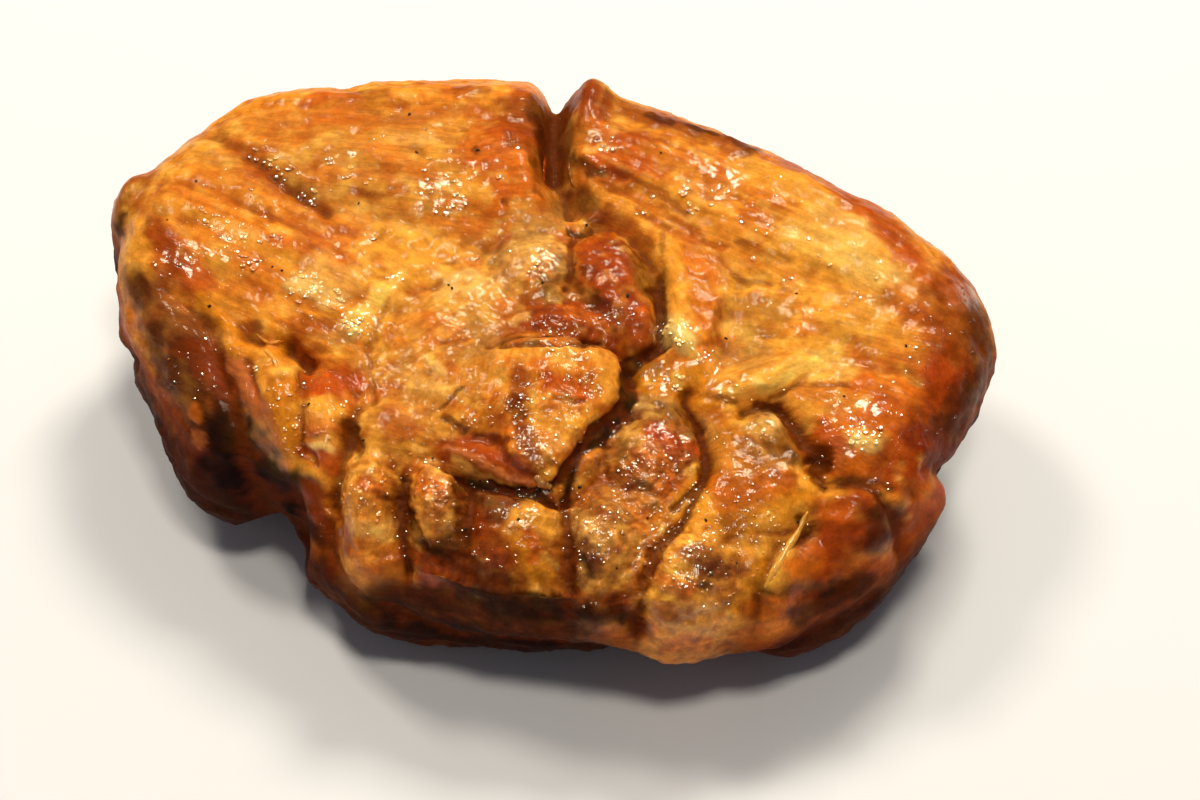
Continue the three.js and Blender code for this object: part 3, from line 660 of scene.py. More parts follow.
        ("redBrown", 0.6, 2, 0, [(5, 57), (8, 58)]),
        # painted shade: the dark mark under the knob
        ("mahogany", 0.8, 1.3, -0.4, [(1, 46), (3.5, 42), (7.5, 40)]),
        ("orange", 0.6, 1.8, 0.2, [(6, 50.5), (8, 48.5)]),
        # painted highlight: the cream mark lightens the knob's glints
        ("cream", 0.5, 0.8, 0.3, [(7.5, 45), (9.5, 45)]),
        ("greyBrown", 0.5, 1.4, 0, [(0.5, 50), (2, 44.5)]),
    ],
    "back right": [
        ("mahogany", 0.6, 1.6, 0, [(18, 52.5), (24, 50)]),
        ("orange", 0.55, 3, 0, [(11, 45), (15, 43)]),
        ("redBrown", 0.6, 1.0, -0.3, [(9, 40.5), (13.5, 38), (18, 34), (22.5, 31)]),
        ("rust", 0.6, 1.0, -0.2, [(8, 37), (14, 34.5), (19.5, 30), (24, 26.5)]),
        ("rust", 0.65, 0.9, -0.2, [(14, 32), (19, 27), (23, 25.5), (28, 23.5)]),
        ("redBrown", 0.65, 1, -0.2, [(31, 25), (35, 23), (38.5, 21.5)]),
        ("brown", 0.5, 0.6, -0.2, [(27.5, 21), (30, 17.5), (32.5, 15.5), (36, 16)]),
        ("orange", 0.55, 1, -0.1, [(16, 44.5), (24.5, 42), (31.5, 38), (38, 33.5)]),
        ("rust", 0.45, 0.8, -0.15, [(24.5, 35), (31, 34), (34.5, 32.5)]),
        ("brickRed", 0.45, 1.8, 0, [(15, 42), (19, 40.5)]),
        ("orange", 0.55, 3, 0, [(21, 22), (25, 17), (24, 10)]),
        ("gold", 0.55, 2.6, 0, [(31, 40), (40, 37), (46, 32)]),
        ("pale", 0.6, 2.6, 0.2, [(45, 32), (49, 29), (52, 26)]),
        ("pale", 0.65, 2.2, 0.2, [(48, 23), (53, 20), (57, 17)]),
        ("gold", 0.65, 3.4, 0, [(39, 23), (46, 19), (52, 15)]),
        ("cream", 0.45, 0.9, 0.2, [(52, 17.5), (56, 16)]),
        ("redBrown", 0.8, 3.4, 0, [(12.5, 55), (19, 52), (24.5, 49.5), (32.5, 46)]),
        ("char", 0.6, 0.9, 0.3, [(16, 53.5), (20, 51.5)]),
        ("char", 0.65, 1.0, 0.3, [(23, 50.5), (27, 49)]),
        ("mahogany", 0.75, 1.4, 0.4, [(30, 48), (34, 45)]),
        ("rust", 0.8, 2.2, 0, [(40, 43), (47, 40), (53, 33), (58, 26)]),
        ("brickRed", 0.6, 1.4, 0, [(52, 31), (56, 25.5), (60, 21.5)]),
        ("paleFat", 0.55, 0.7, 0.25, [(55.5, 14.5), (60.5, 12.5), (66.5, 11.5)]),
        ("pale", 0.4, 0.5, 0.15, [(56.5, 13), (62, 11)]),
    ],
    "right leg": [
        # the fat's own pale colour, brightened further with a painted highlight where glints cluster
        ("cream", 0.95, 2.8, 0.4, [(19, 7), (21, 4.5)]),
        ("cream", 0.75, 1.6, 0.3, [(19.5, 6.5), (21, 5), (20.5, 7)]),
        ("fat", 0.7, 1.3, 0.3, [(22, 3), (23, 1.5)]),
        ("gold", 0.6, 1.8, 0.1, [(19, 23), (20, 14.5), (21.5, 8.5)]),
        ("brown", 0.5, 0.5, -0.2, [(17.5, 26.5), (18, 18.5)]),
        ("brown", 0.5, 0.7, -0.2, [(27.5, 12.5), (26.5, 7), (25.5, 3.5)]),
    ],
    "fat channel": [
        ("cream", 0.85, 1.8, 0, [(34, -3.5), (38, -1), (42, 1)]),
        ("honey", 0.8, 3, 0, [(15, -3), (19, -4), (23, -2)]),
        ("oliveBrown", 0.6, 1.8, 0, [(13.5, -1), (17, -1)]),
        ("fat", 0.65, 0.9, 0.3, [(20, -2), (20.5, -5)]),
        ("cream", 0.55, 0.7, 0.3, [(15.5, -4.5), (16.5, -4.5)]),
        ("brown", 0.55, 0.7, -0.3, [(22, -6), (24.5, -6.5), (28.5, -7.5)]),
        ("honey", 0.6, 1.8, 0, [(14, -6), (20.5, -6.5), (24.5, -8)]),
    ],
    "right shelf": [
        ("fat", 0.7, 2.2, 0, [(29, 7), (32, 6)]),
        ("tan", 0.5, 4, 0, [(50, 12), (54, 12)]),
        # painted highlight: the cream mark lightens the right face
        ("cream", 0.45, 2.4, 0.1, [(46, 24), (50, 21), (55, 18)]),
        ("fat", 0.55, 4.0, 0.1, [(42, 27), (48, 23), (53, 19)]),
        ("brown", 0.5, 2.6, 0, [(29, 11), (33, 12), (37, 11)]),
        ("brown", 0.5, 2, 0, [(31, 9), (35, 7)]),
        ("brown", 0.3, 2, 0, [(45, 5), (49, 4), (53, 4)]),
        ("greyTan", 0.6, 2.4, 0, [(28, 2), (31, 1), (34, 2)]),
        ("fat", 0.9, 1.7, 0.4, [(33, -5), (37, -2.5), (41, 0), (45.5, 2)]),
        ("gold", 0.7, 1.4, 0.2, [(31.5, -4.5), (36, -1), (41, 1.5)]),
        ("cream", 0.6, 0.7, 0.3, [(32, -3.5), (34, -4)]),
        ("fat", 0.6, 2.0, 0, [(41.5, -2), (46, -1), (48, -1.5)]),
        ("brown", 0.7, 0.5, -0.4, [(35.5, -7), (38, -5.5), (40.5, -4.5), (45, -4), (48, -4)]),
        ("tan", 0.55, 3, 0.1, [(39, -7), (43, -7), (47, -8)]),
        ("gold", 0.5, 2.4, 0, [(40, -10), (43, -11)]),
        ("orange", 0.6, 3.6, 0.2, [(47, -14), (50, -15), (53, -15)]),
        # painted highlight: the gold and cream marks lighten the glint cluster
        ("gold", 0.55, 2, 0.2, [(48, -14), (52, -15)]),
        ("cream", 0.6, 1.6, 0.3, [(48, -15), (51.5, -15.5)]),
        ("brickRed", 0.75, 1.5, 0, [(43, -11.5), (44, -13.5), (45.5, -15.5)]),
        ("orange", 0.6, 2.4, 0, [(47, -19), (50, -21)]),
        ("rust", 0.6, 2.8, 0, [(54, -7), (56, -11), (53, -21)]),
        ("orange", 0.4, 3, 0, [(57, 6), (53, 0), (51, -4)]),
    ],
    "right end": [
        ("orange", 0.5, 3.5, 0, [(58, 13), (62, 10)]),
        ("rust", 0.6, 3, 0, [(60, 9), (63, 4)]),
        ("orange", 0.6, 2.4, 0.1, [(54, -10), (57, -12)]),
        ("brickRed", 0.55, 3, 0, [(60, 22), (63, 18), (66, 16)]),
        ("redBrown", 0.8, 5.0, 0, [(66, 14), (67, 5), (64, -5), (62, -12)]),
        ("brickRed", 0.55, 3, 0, [(61, 0), (64, -3), (63, -7)]),
        ("mahogany", 0.8, 2.6, 0, [(70, 10), (71, 5), (71, -1), (69, -7)]),
        ("mahogany", 0.7, 3.2, 0, [(67, -6), (66, -12), (63, -19)]),
        ("darkRed", 0.8, 3.2, 0, [(58, -14), (61, -15), (63, -18)]),
        ("mahogany", 0.6, 2, 0, [(62, -13), (65, -12)]),
        ("orange", 0.6, 2.2, 0.1, [(52, -24), (56, -26), (59, -26)]),
        ("redBrown", 0.7, 1.2, -0.3, [(51.5, -21), (54, -24), (57, -26.5)]),
        ("pink", 0.45, 1.4, 0.2, [(66.5, 14.5), (68, 11.5)]),
    ],
    "ridge and hole": [
        ("pale", 0.5, 1.4, 0.4, [(33.5, -9.5), (35, -11), (35, -12.5)]),
        ("cream", 0.4, 0.6, 0.2, [(35, -10), (35.5, -12)]),
        ("oliveBrown", 0.65, 1.6, 0, [(36.5, -13.5), (38, -16), (40, -19)]),
        # painted shade: the dark line in the shelf crease
        ("mahogany", 0.85, 1.2, -0.6, [(33, -8), (36.5, -9.5), (38.5, -12.5), (40, -15)]),
        ("mahogany", 0.7, 1.6, 0, [(34.5, -16), (36.5, -17), (38, -18)]),
        ("brown", 0.65, 1.2, -0.2, [(30.5, -14.5), (31.5, -15.5)]),
        ("greyBrown", 0.55, 1.8, 0, [(31.5, -17), (35, -19.5)]),
        ("redBrown", 0.65, 1.6, 0, [(35.5, -21.5), (38, -23)]),
        # painted shade: the dark marks in and around the hole
        ("mahogany", 0.8, 1.4, -0.6, [(42, -16.5), (43, -17.5)]),
        ("nearBlack", 0.95, 1.5, -0.9, [(42, -19), (43.5, -20)]),
        ("pink", 0.5, 1, 0.3, [(44.5, -14.5), (45.5, -17), (45.5, -20)]),
        ("gold", 0.9, 2, 0.3, [(40, -24), (43, -25), (45, -24)]),
        ("honey", 0.7, 1.4, 0.1, [(40, -26.5), (42, -27)]),
    ],
    "front right": [
        ("pale", 0.75, 3.6, 0, [(20, -48), (25, -49)]),
        ("brown", 0.7, 4.5, 0, [(28, -16), (31, -24)]),
        ("pale", 0.45, 1.6, 0.1, [(24.5, -11.5), (24.5, -15)]),
        ("tan", 0.5, 2.8, 0, [(26, -15), (28, -19)]),
        ("rust", 0.55, 2.2, 0, [(27, -26), (30, -26), (32, -26)]),
        ("orange", 0.45, 3, 0, [(26, -23), (30, -24), (34, -24)]),
        ("gold", 0.3, 2.6, 0, [(33, -28), (37, -29)]),
        ("brown", 0.5, 2.8, 0, [(29, -32), (33, -33)]),
        ("brown", 0.5, 1.6, 0, [(27.5, -30), (30, -29.5)]),
        ("brown", 0.55, 0.8, -0.2, [(32, -32.5), (34, -33), (37, -33)]),
        ("gold", 0.6, 2.4, 0.1, [(21, -27), (23, -29), (21, -31)]),
        ("plum", 0.8, 1.8, -0.2, [(21.5, -35.5), (23.5, -37), (25, -38)]),
        ("plum", 0.75, 1.8, -0.2, [(24, -39), (26.5, -39.5), (29, -39.5)]),
        ("nearBlack", 0.8, 0.9, -0.6, [(23.5, -42), (24, -42.5)]),
        ("brickRed", 0.45, 2.2, 0, [(15, -40), (18, -42), (21, -43)]),
        ("gold", 0.5, 2, 0.1, [(15, -43), (18, -45)]),
        ("redBrown", 0.7, 2.2, 0, [(17, -47), (20, -48)]),
        ("honey", 0.65, 2, 0.1, [(24, -49), (27, -50)]),
        ("tan", 0.5, 1.8, 0, [(26, -43), (28.5, -44.5)]),
        ("brown", 0.7, 1, -0.3, [(16, -37), (13.5, -41), (11.5, -44.5)]),
        # painted shade: the near-black mark in the crack between the lobes
        ("nearBlack", 0.92, 2.2, -0.4, [(10, -46), (11, -49), (13, -51)]),
        ("honey", 0.75, 1.6, 0.1, [(33.5, -38.5), (31.5, -43), (29.5, -46.5)]),
        ("honey", 0.65, 1.8, 0.2, [(29.5, -47.5), (31.5, -48.5)]),
        ("paleFat", 0.92, 0.9, 0.7, [(41, -29.5), (38.5, -33), (36.5, -37), (34.5, -40.5), (33, -43)]),
        ("nearBlack", 0.85, 0.8, -0.6, [(39, -35), (40, -34)]),
        ("nearBlack", 0.75, 0.6, -0.4, [(33, -43.5), (34, -44)]),
        ("char", 0.6, 0.5, -0.2, [(38, -30), (39, -30.5)]),
    ],
    "bulges": [
        ("brown", 0.7, 2.4, 0, [(5.5, -27.5), (8, -26), (11, -23)]),
        ("rust", 0.6, 2, 0, [(17, -13), (19, -13)]),
        ("brown", 0.3, 4.0, 0, [(14, -12), (17, -18)]),
        ("greyTan", 0.7, 2, 0.3, [(13, -8), (15, -9), (18, -8)]),
        ("cream", 0.35, 0.9, 0.2, [(14, -8), (15, -8.5)]),
        ("oliveBrown", 0.65, 2, 0, [(18, -10), (21, -11), (22, -14)]),
        # painted shade: the near-black mark in the crack beside the flap
        ("nearBlack", 0.75, 0.9, -0.4, [(11.5, -11.5), (12.5, -10), (13.5, -10)]),
        ("pale", 0.4, 1.8, 0.2, [(12, -13.5), (13.5, -14.5), (15.5, -16)]),
        ("brickRed", 0.65, 2.2, 0, [(16, -14), (18, -16), (21, -17)]),
        ("orange", 0.55, 2.6, 0, [(14, -19), (17, -21), (18, -24)]),
        ("pink", 0.4, 2, 0.1, [(14, -17), (16, -19)]),
        ("oliveBrown", 0.6, 0.5, 0.3, [(9, -19), (10.5, -19), (11, -20.5), (10, -21.5), (9, -21),
                                       (9, -19.5)]),
        ("brown", 0.65, 2.2, 0, [(5, -21), (7, -23), (8, -21)]),
        # painted shade: the dark line in the crack at the bulge's side
        ("mahogany", 0.8, 0.8, -0.4, [(23.5, -13.5), (24, -18), (23, -22.5), (21.5, -26), (19.5, -28.5)]),
        ("pale", 0.7, 2.2, 0, [(5, -33), (6, -35)]),
        ("greyTan", 0.6, 2.2, 0.1, [(3, -30), (6, -31), (8, -32)]),
        ("pale", 0.35, 1.4, 0.2, [(5, -30.5), (6.5, -32)]),
        ("tan", 0.55, 2, 0, [(9, -26), (12, -28), (14, -26)]),
        ("tan", 0.55, 2, 0, [(11, -32), (13, -34)]),
        ("plum", 0.85, 1.8, -0.2, [(4, -35), (5.5, -37), (7, -38.5)]),
        # painted shade: the near-black mark in the crack left of the bulge
        ("nearBlack", 0.6, 1, -0.3, [(4, -37.5), (5.5, -40)]),
        ("tan", 0.5, 1.8, 0, [(9, -37.5), (8, -41)]),
        ("redBrown", 0.7, 2.8, 0, [(4, -46), (7, -47), (10, -46)]),
        # painted shade: the dark line in the crack left of the bulge
        ("mahogany", 0.8, 0.8, -0.4, [(1.5, -28.5), (2, -33), (2.5, -37), (3.5, -43.5)]),
        ("brown", 0.5, 0.8, -0.2, [(18, -30), (16.5, -34), (14.5, -37)]),
        ("cream", 0.8, 0.5, 0.5, [(17, -32), (16.5, -33.5)]),
    ],
    "flap": [
        ("orange", 0.45, 2.4, 0, [(-9, -12), (-6, -12)]),
        ("redBrown", 0.6, 2.6, 0, [(-14, -15), (-9, -17.6), (-5, -20)]),
        ("fat", 0.55, 0.6, 0.3, [(-1.5, 3.5), (2, 3.5)]),
        ("gold", 0.5, 1, 0.2, [(-6, 2), (0.5, 2.5), (7.5, 2)]),
        ("redBrown", 0.8, 1.7, -0.1, [(-6, -1), (-5, -3.5), (-5.5, -6)]),
        ("darkRed", 0.65, 1.5, -0.2, [(-6.5, -7), (-5.5, -10.5), (-4.5, -14.5), (-3.5, -17)]),
        ("honey", 0.6, 0.5, 0.2, [(-2.5, -1.5), (-2.5, -6), (-3, -8.5)]),
        ("brickRed", 0.75, 2, -0.1, [(0, -3), (2, -4), (4, -5)]),
        ("darkRed", 0.6, 0.7, -0.3, [(0.5, -6.5), (3, -7), (4.5, -6.5)]),
        ("gold", 0.6, 1.6, 0.2, [(7.5, 0), (9.5, -3), (9, -6.5)]),
        ("gold", 0.65, 2, 0.2, [(-2, -11), (1, -12), (3, -11)]),
        ("pale", 0.45, 1.2, 0.2, [(-0.5, -14.5), (1, -16)]),
        ("brown", 0.5, 1.6, 0, [(-4, -18), (-1.5, -20)]),
        ("gold", 0.45, 1, 0.2, [(-1, -21), (-0.5, -22)]),
        ("pink", 0.55, 0.8, 0, [(2, -16.5), (3.5, -15), (4.5, -14)]),
        ("tan", 0.5, 2.8, 0, [(-14, 0), (-11, -2)]),
        ("honey", 0.4, 2.2, 0.1, [(-17, -10), (-12, -11)]),
        ("mahogany", 0.7, 0.8, -0.3, [(-17.5, -10.5), (-16, -11.5), (-14.5, -12.5)]),
        ("darkRed", 0.75, 1, -0.3, [(-12, -14), (-10, -15), (-7.5, -15)]),
        # painted shadow: the near-black line beside the flap
        ("nearBlack", 0.9, 1.1, -0.7, [(11.5, -2), (12, -5), (10, -9.5), (7, -13.5), (4, -16.5), (2, -20),
                                       (1, -22.5)]),
        ("rust", 0.75, 2.2, 0, [(-14, -16), (-9, -18), (-5, -21)]),
        ("pink", 0.85, 0.9, 0.4, [(-17, -16.5), (-12, -19), (-7.5, -22), (-4, -23.5)]),
        ("darkRed", 0.6, 0.8, -0.2, [(-8.5, -16.5), (-5.5, -19.5), (-3, -21.5)]),
        # painted shade: the near-black lines under the fold
        ("nearBlack", 0.88, 0.8, -0.6, [(-10.5, -23), (-7.5, -24.5), (-4, -25.5), (-1, -25)]),
        ("nearBlack", 0.9, 0.8, -0.4, [(-2, -24.5), (-0.5, -24), (1, -23)]),
    ],
    "front middle": [
        ("plum", 0.85, 1.9, 0, [(-13, -25), (-10, -25), (-7, -27)]),
        ("mahogany", 0.75, 2, 0, [(-12, -28), (-9, -29)]),
        ("gold", 0.7, 2, 0.2, [(-5, -29), (-2, -29), (0, -31)]),
        ("honey", 0.75, 2, 0.2, [(-6, -35), (-3, -39), (-1, -41)]),
        ("gold", 0.65, 1.4, 0.2, [(-2.5, -43), (-1, -44.5)]),
        ("brickRed", 0.6, 1.2, -0.2, [(-4, -32), (-2.5, -35.5), (-3.5, -37.5)]),
        ("redBrown", 0.85, 2.6, 0, [(-12, -31), (-10, -34), (-8, -37)]),
        ("mahogany", 0.85, 3.2, 0, [(-18, -36), (-13, -40), (-9, -42)]),
        # painted shade: the dark marks at the foot of the front lobes
        ("nearBlack", 0.6, 2.6, -0.2, [(-16, -43), (-8, -46), (1, -48), (9, -48)]),
        ("nearBlack", 0.7, 2, 0, [(-19, -37), (-14, -42), (-8, -45)]),
        ("mahogany", 0.8, 2.8, 0, [(-7, -45), (-2, -47), (3, -47)]),
        # painted shade: the dark lines in the cracks beside the knuckle
        ("mahogany", 0.7, 1.2, -0.2, [(-15.5, -23), (-14.5, -27.5), (-15, -33)]),
        ("nearBlack", 0.92, 1.1, -0.6, [(-24, -26), (-23.5, -28.5), (-22, -32.5), (-20.5, -35.5)]),
        ("paleFat", 0.7, 0.45, 0.4, [(-24.5, -21), (-24.5, -23.5), (-24.5, -26)]),
        ("oliveBrown", 0.55, 1.2, -0.2, [(-25, -26.5), (-25, -30)]),
        ("orange", 0.55, 2.2, 0.1, [(-21, -21), (-19, -24)]),
        ("pale", 0.45, 1.4, 0.2, [(-19, -19.5), (-17.5, -21)]),
        ("brown", 0.5, 1.6, 0, [(-17, -24.5), (-18, -28.5)]),
        ("tan", 0.5, 2, 0, [(-20, -29), (-21, -32)]),
        ("tan", 0.6, 1.8, 0.1, [(-32.5, -21), (-32, -26.5), (-31, -32)]),
        ("brickRed", 0.65, 1.5, 0, [(-30, -23), (-28.5, -24.5), (-27.5, -25.5)]),
        ("mahogany", 0.6, 0.9, -0.2, [(-28, -25), (-26.5, -26.5)]),
        ("pale", 0.5, 1.6, 0.2, [(-31, -31.5), (-29, -33), (-26.5, -32)]),
        ("brown", 0.5, 1.2, 0, [(-30, -27), (-27, -28.5)]),
        ("orange", 0.55, 2.2, 0, [(-30, -36), (-27, -37), (-24, -38)]),
        ("redBrown", 0.7, 2, 0, [(-23, -37), (-19, -40)]),
    ],
    # painted shadow: the dark band under the front lobes
    "under the front": [
        ("nearBlack", 0.75, 3.4, 0, [(-27, -45.5), (-17, -46.5), (-5, -49), (5, -50)]),
        ("mahogany", 0.7, 4, 0, [(-24, -52), (-8, -55), (5, -56)]),
    ],
    "heel": [
        ("rust", 0.75, 4.0, 0, [(44, -30), (47, -34), (42, -38)]),
        ("redBrown", 0.7, 2, 0, [(47, -25), (50, -26), (52, -28)]),
        ("tan", 0.6, 1.2, 0.3, [(52.5, -26), (54.5, -27)]),
        # painted shade: the dark line in the crease
        ("mahogany", 0.75, 1.3, -0.2, [(46.5, -23), (50.5, -23), (53.5, -24.5)]),
        ("orange", 0.5, 2, 0.1, [(43, -29), (45, -30)]),
        ("rust", 0.7, 2.6, 0, [(45, -32), (48, -32)]),
        ("nearBlack", 0.75, 3, 0, [(52, -29), (54, -31), (51, -35)]),
        ("orange", 0.75, 2.2, 0.2, [(38, -40), (40, -39), (41, -37)]),
        ("pink", 0.5, 1.2, 0.2, [(39.5, -36), (41, -37)]),
        ("rust", 0.6, 2.6, 0, [(43, -36), (46, -39), (48, -41)]),
        ("mahogany", 0.8, 1.8, -0.2, [(36.5, -44), (40, -44.5), (45, -43.5)]),
        ("rust", 0.65, 2.4, 0, [(32, -47), (36, -47), (39, -46)]),
        # painted shade: the near-black mark at the foot of the heel
        ("nearBlack", 0.75, 2.6, 0, [(39, -49), (44, -46), (49, -43)]),
    ],
}

dent = np.zeros(len(x))
markX, markY = layX + warpX, layY + warpY
markNoise = 0.35 * grain(x / 2.2, y / 2.2 + 40, z / 2.2)
markMargin = 9  # a mark is laid no farther than this past its points, left and right
for group in marks.values():
    for toneName, strength, halfWidth, rise, path in group:
        lowX, highX = min(p[0] for p in path) - markMargin, max(p[0] for p in path) + markMargin
        near = np.flatnonzero((markX > lowX) & (markX < highX))
        share = planDistance(markX[near], markY[near], path) / halfWidth
        cover = smoothStep(1.35, 0.55, share + markNoise[near])
        lowAtBack = drop[near] * smoothStep(40, 60, y[near])  # no mark lies low on the back wall
        cover = cover * smoothStep(19, 13, lowAtBack)
        tone[near] = stained(tone[near], toneName, strength * cover)
        dent[near] += rise * np.exp(-share ** 2)
print("marks laid")

# Painted shade: the wall darkens towards the foot, most at the front, and lower down on the front chunk
paintedWallShade = {"start": 9, "lowerOnChunk": 8, "fade": 8, "back": 0.45, "moreAtFront": 0.37}
wallShadeStart = paintedWallShade["start"] + paintedWallShade["lowerOnChunk"] * smoothStep(8, 18, x) * smoothStep(38, 28, x)
wallShadeDepth = paintedWallShade["back"] + paintedWallShade["moreAtFront"] * smoothStep(60, 30, y)
tone = tone * (1 - wallShadeDepth * smoothStep(0, 1, (drop - wallShadeStart) / paintedWallShade["fade"]))[:, None]

# Painted shade: dark lines along the bottoms of the cracks
crackShadeLines = {"flapSide": 0.95, "roundMuscle": 0.75, "bulgeSide": 0.7, "bulgeLeft": 0.5, "knuckleSide": 0.95,
             "knuckleRight": 0.7, "fold": 0.85, "heelCrease": 0.5, "rightCrease": 0.6, "hole": 0.95,
             "flapTop": 0.5}
for name, strength in crackShadeLines.items():
    far = planDistance(x + 0.3 * warpX, y + 0.3 * warpY, cracks[name][2]) + 0.3 * blotch
    tone = stained(tone, "nearBlack", strength * smoothStep(1.0, 0.35, far) * smoothStep(14, 24, z))

# Fine relief: fibre bundles and strands along each muscle, pebbled crust, small lumps
fine = {"bundle": 0.14, "strand": 0.05, "pebble": 0.44, "lump": 0.34, "wrinkle": 0.20, "grit": 0.13,
        "skinFold": 0.55}
fineSize = {"bundle": (8, 2.3), "strand": (7, 0.85), "pebble": 1.9, "lump": 5, "wrinkle": 3.2, "grit": 2.2,
            "skinFold": (9, 3.4)}
bundle = fibreGrain(*fineSize["bundle"])
strand = fibreGrain(*fineSize["strand"], 3)
pebble = evenGrain(fineSize["pebble"], 0, 3)
lump = evenGrain(fineSize["lump"], 11)
grit = evenGrain(fineSize["grit"], 61, 2)
wrinkle = 1 - 2 * np.abs(evenGrain(fineSize["wrinkle"], 31))
foldWide, foldHigh = fineSize["skinFold"]
skinFold = 1 - 2 * np.abs(grain(x / foldWide + 71, y / foldWide, z / foldHigh, 2))
swell = (fibre * (fine["bundle"] * bundle + fine["strand"] * strand) + crust * fine["pebble"] * pebble
         + fine["lump"] * lump + (1 - crust) * fine["wrinkle"] * wrinkle + fine["grit"] * grit
         + fine["skinFold"] * smoothStep(12, 20, drop) * skinFold + dent)
swell = swell * smoothStep(0.0, 2.5, z)
points = points + normals * swell[:, None]
points[:, 2] = np.maximum(points[:, 2], 0)
normals = normalsOf(points)
print("fine relief raised")

# Painted shade and light: hollows are painted browner, redder and darker as shade, raised edges are painted
# lighter, and the fat stays pale: plan position and reach
shading = {"broadDepth": 0.9, "broadShare": 0.4, "narrowDepth": 0.2, "narrowShare": 0.65,
           "redden": 0.45, "darken": 0.65, "lighten": 0.14, "edgeHeight": 0.7,
           "fat": [(20, 5, 4), (38, 0, 5), (-33, 9, 5), (-42, 15, 4), (-44, -6, 4)]}
broad = ((points - smoothed(points, 40)) * normals).sum(1)
narrow = ((points - smoothed(points, 6)) * normals).sum(1)
shade = smoothed(np.clip(-broad / shading["broadDepth"], 0, 1) * shading["broadShare"]
                 + np.clip(-narrow / shading["narrowDepth"], 0, 1) * shading["narrowShare"], 2)
for fatX, fatY, reach in shading["fat"]:
    shade = shade * (1 - 0.8 * smoothStep(reach, reach * 0.4, np.hypot(x - fatX, y - fatY)))
tone = stained(tone, "redBrown", shading["redden"] * smoothStep(0.12, 0.6, shade))
tone = stained(tone, "mahogany", shading["darken"] * smoothStep(0.45, 0.95, shade))
tone = tone * (1 + shading["lighten"] * np.clip(broad / shading["edgeHeight"], 0, 1))[:, None]

# A fine grain over everything, coarser on the crusts, then the balance of red, green and blue
mottling = {"browned": (0.26, 0.38, 0.48), "paled": (0.28, 0.32, 0.26), "everywhere": 0.12,
            "balance": (0.98, 1.0, 0.78)}
mottle = grain(x / 1.5, y / 1.5, z / 1.5 + 20, 2)
browned, paled = crust * smoothStep(0.05, 0.45, mottle), crust * smoothStep(-0.1, -0.45, mottle)
tone = tone * (1 - browned[:, None] * np.array(mottling["browned"]))
tone = tone * (1 + paled[:, None] * np.array(mottling["paled"]))
tone = tone * (1 - mottling["everywhere"] * mottle)[:, None]
tone = np.clip(tone * np.array(mottling["balance"]), 0.002, 0.95)

# Where the juices stand. Places: plan position and reach
wetness = {
    "everywhere": 0.24, "onCrust": 0.30, "inPatches": 0.16, "onWall": 0.1, "lowCrust": 0.45,
    "inHollows": 0.15, "onDark": 0.35,
    "places": [
        (-42, 15, 4), (-33, 8, 4), (-47, 38, 3), (-42, 34, 3), (-27, 16, 3), (19, 6, 4), (22, 2, 3),
        (50, -13, 6), (47, -9, 3), (16, -3, 4), (-38, -16, 3), (-64, 20, 5), (28, -4, 4), (-20, 35, 5),
        (68, 13, 3), (8, 46, 3), (-5, -15, 5), (13, -16, 8), (6, -31, 6), (20, -40, 8), (-36, 43, 3),
        (28, 37, 4), (-2, 20, 4), (-12, 41, 3), (34, -11, 3), (-56, 22, 4), (-18, -26, 4), (-6, -26, 5),
        (-60, -3, 4),
    ],
}
wet = np.full(len(x), wetness["everywhere"])
for wetX, wetY, reach in wetness["places"]:
    wet = np.maximum(wet, smoothStep(reach * 1.5, reach * 0.4, np.hypot(markX - wetX, markY - wetY)))
wet = np.clip(wet + wetness["onCrust"] * crust + wetness["inPatches"] * patchy, 0, 1)
wet = wet * (1 - (1 - wetness["onWall"]) * smoothStep(7, 15, drop))
wet = np.maximum(wet, wetness["lowCrust"] * crust * smoothStep(30, 18, drop))
wet = wet * (1 - (1 - wetness["inHollows"]) * smoothStep(0.2, 0.7, shade))
wet = wet * (wetness["onDark"] + (1 - wetness["onDark"]) * smoothStep(0.03, 0.2, tone[:, 0]))
print("wet places set")

metre = 0.001  # millimetres are written above, metres go into the scene


def makePiece(name, places, faces, attributes, hides=None):
    # a mesh piece from millimetre points, with its looks as point attributes
    mesh = bpy.data.meshes.new(name)
    centred = (np.asarray(places) - np.array([sliceMiddle[0], sliceMiddle[1], 0])) * metre
    mesh.from_pydata(centred.tolist(), [], np.asarray(faces).tolist())
    mesh.shade_smooth()
    for label, values in attributes.items():
        values = np.asarray(values, np.float32)
        if label == "tone":
            rows = np.concatenate([values, np.ones((len(values), 1), np.float32)], 1)
            mesh.attributes.new(label, "FLOAT_COLOR", "POINT").data.foreach_set("color", rows.ravel())
        elif values.ndim == 2:
            mesh.attributes.new(label, "FLOAT_VECTOR", "POINT").data.foreach_set("vector", values.ravel())
        else:
            mesh.attributes.new(label, "FLOAT", "POINT").data.foreach_set("value", values)
    piece = bpy.data.objects.new(name, mesh)
    bpy.context.scene.collection.objects.link(piece)
    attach(piece, "root")
    if hides:
        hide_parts(hides)
    return piece


meat = makePiece("pork_neck_meat", points, triangles, {
    "crust": crust, "wet": wet, "tone": tone, "fibrePlace": np.stack([along, over, z], 1)}, "pork_neck")
print("meat meshed")

# Small things are laid on the face and the front, not on the foot or the back wall
outOfReach = 1e6 * ((z < 2) | ((y > 45) & (drop > 8)))


def nearestAt(a, b):
    return int(np.argmin((layX - a) ** 2 + (layY - b) ** 2 + outOfReach))


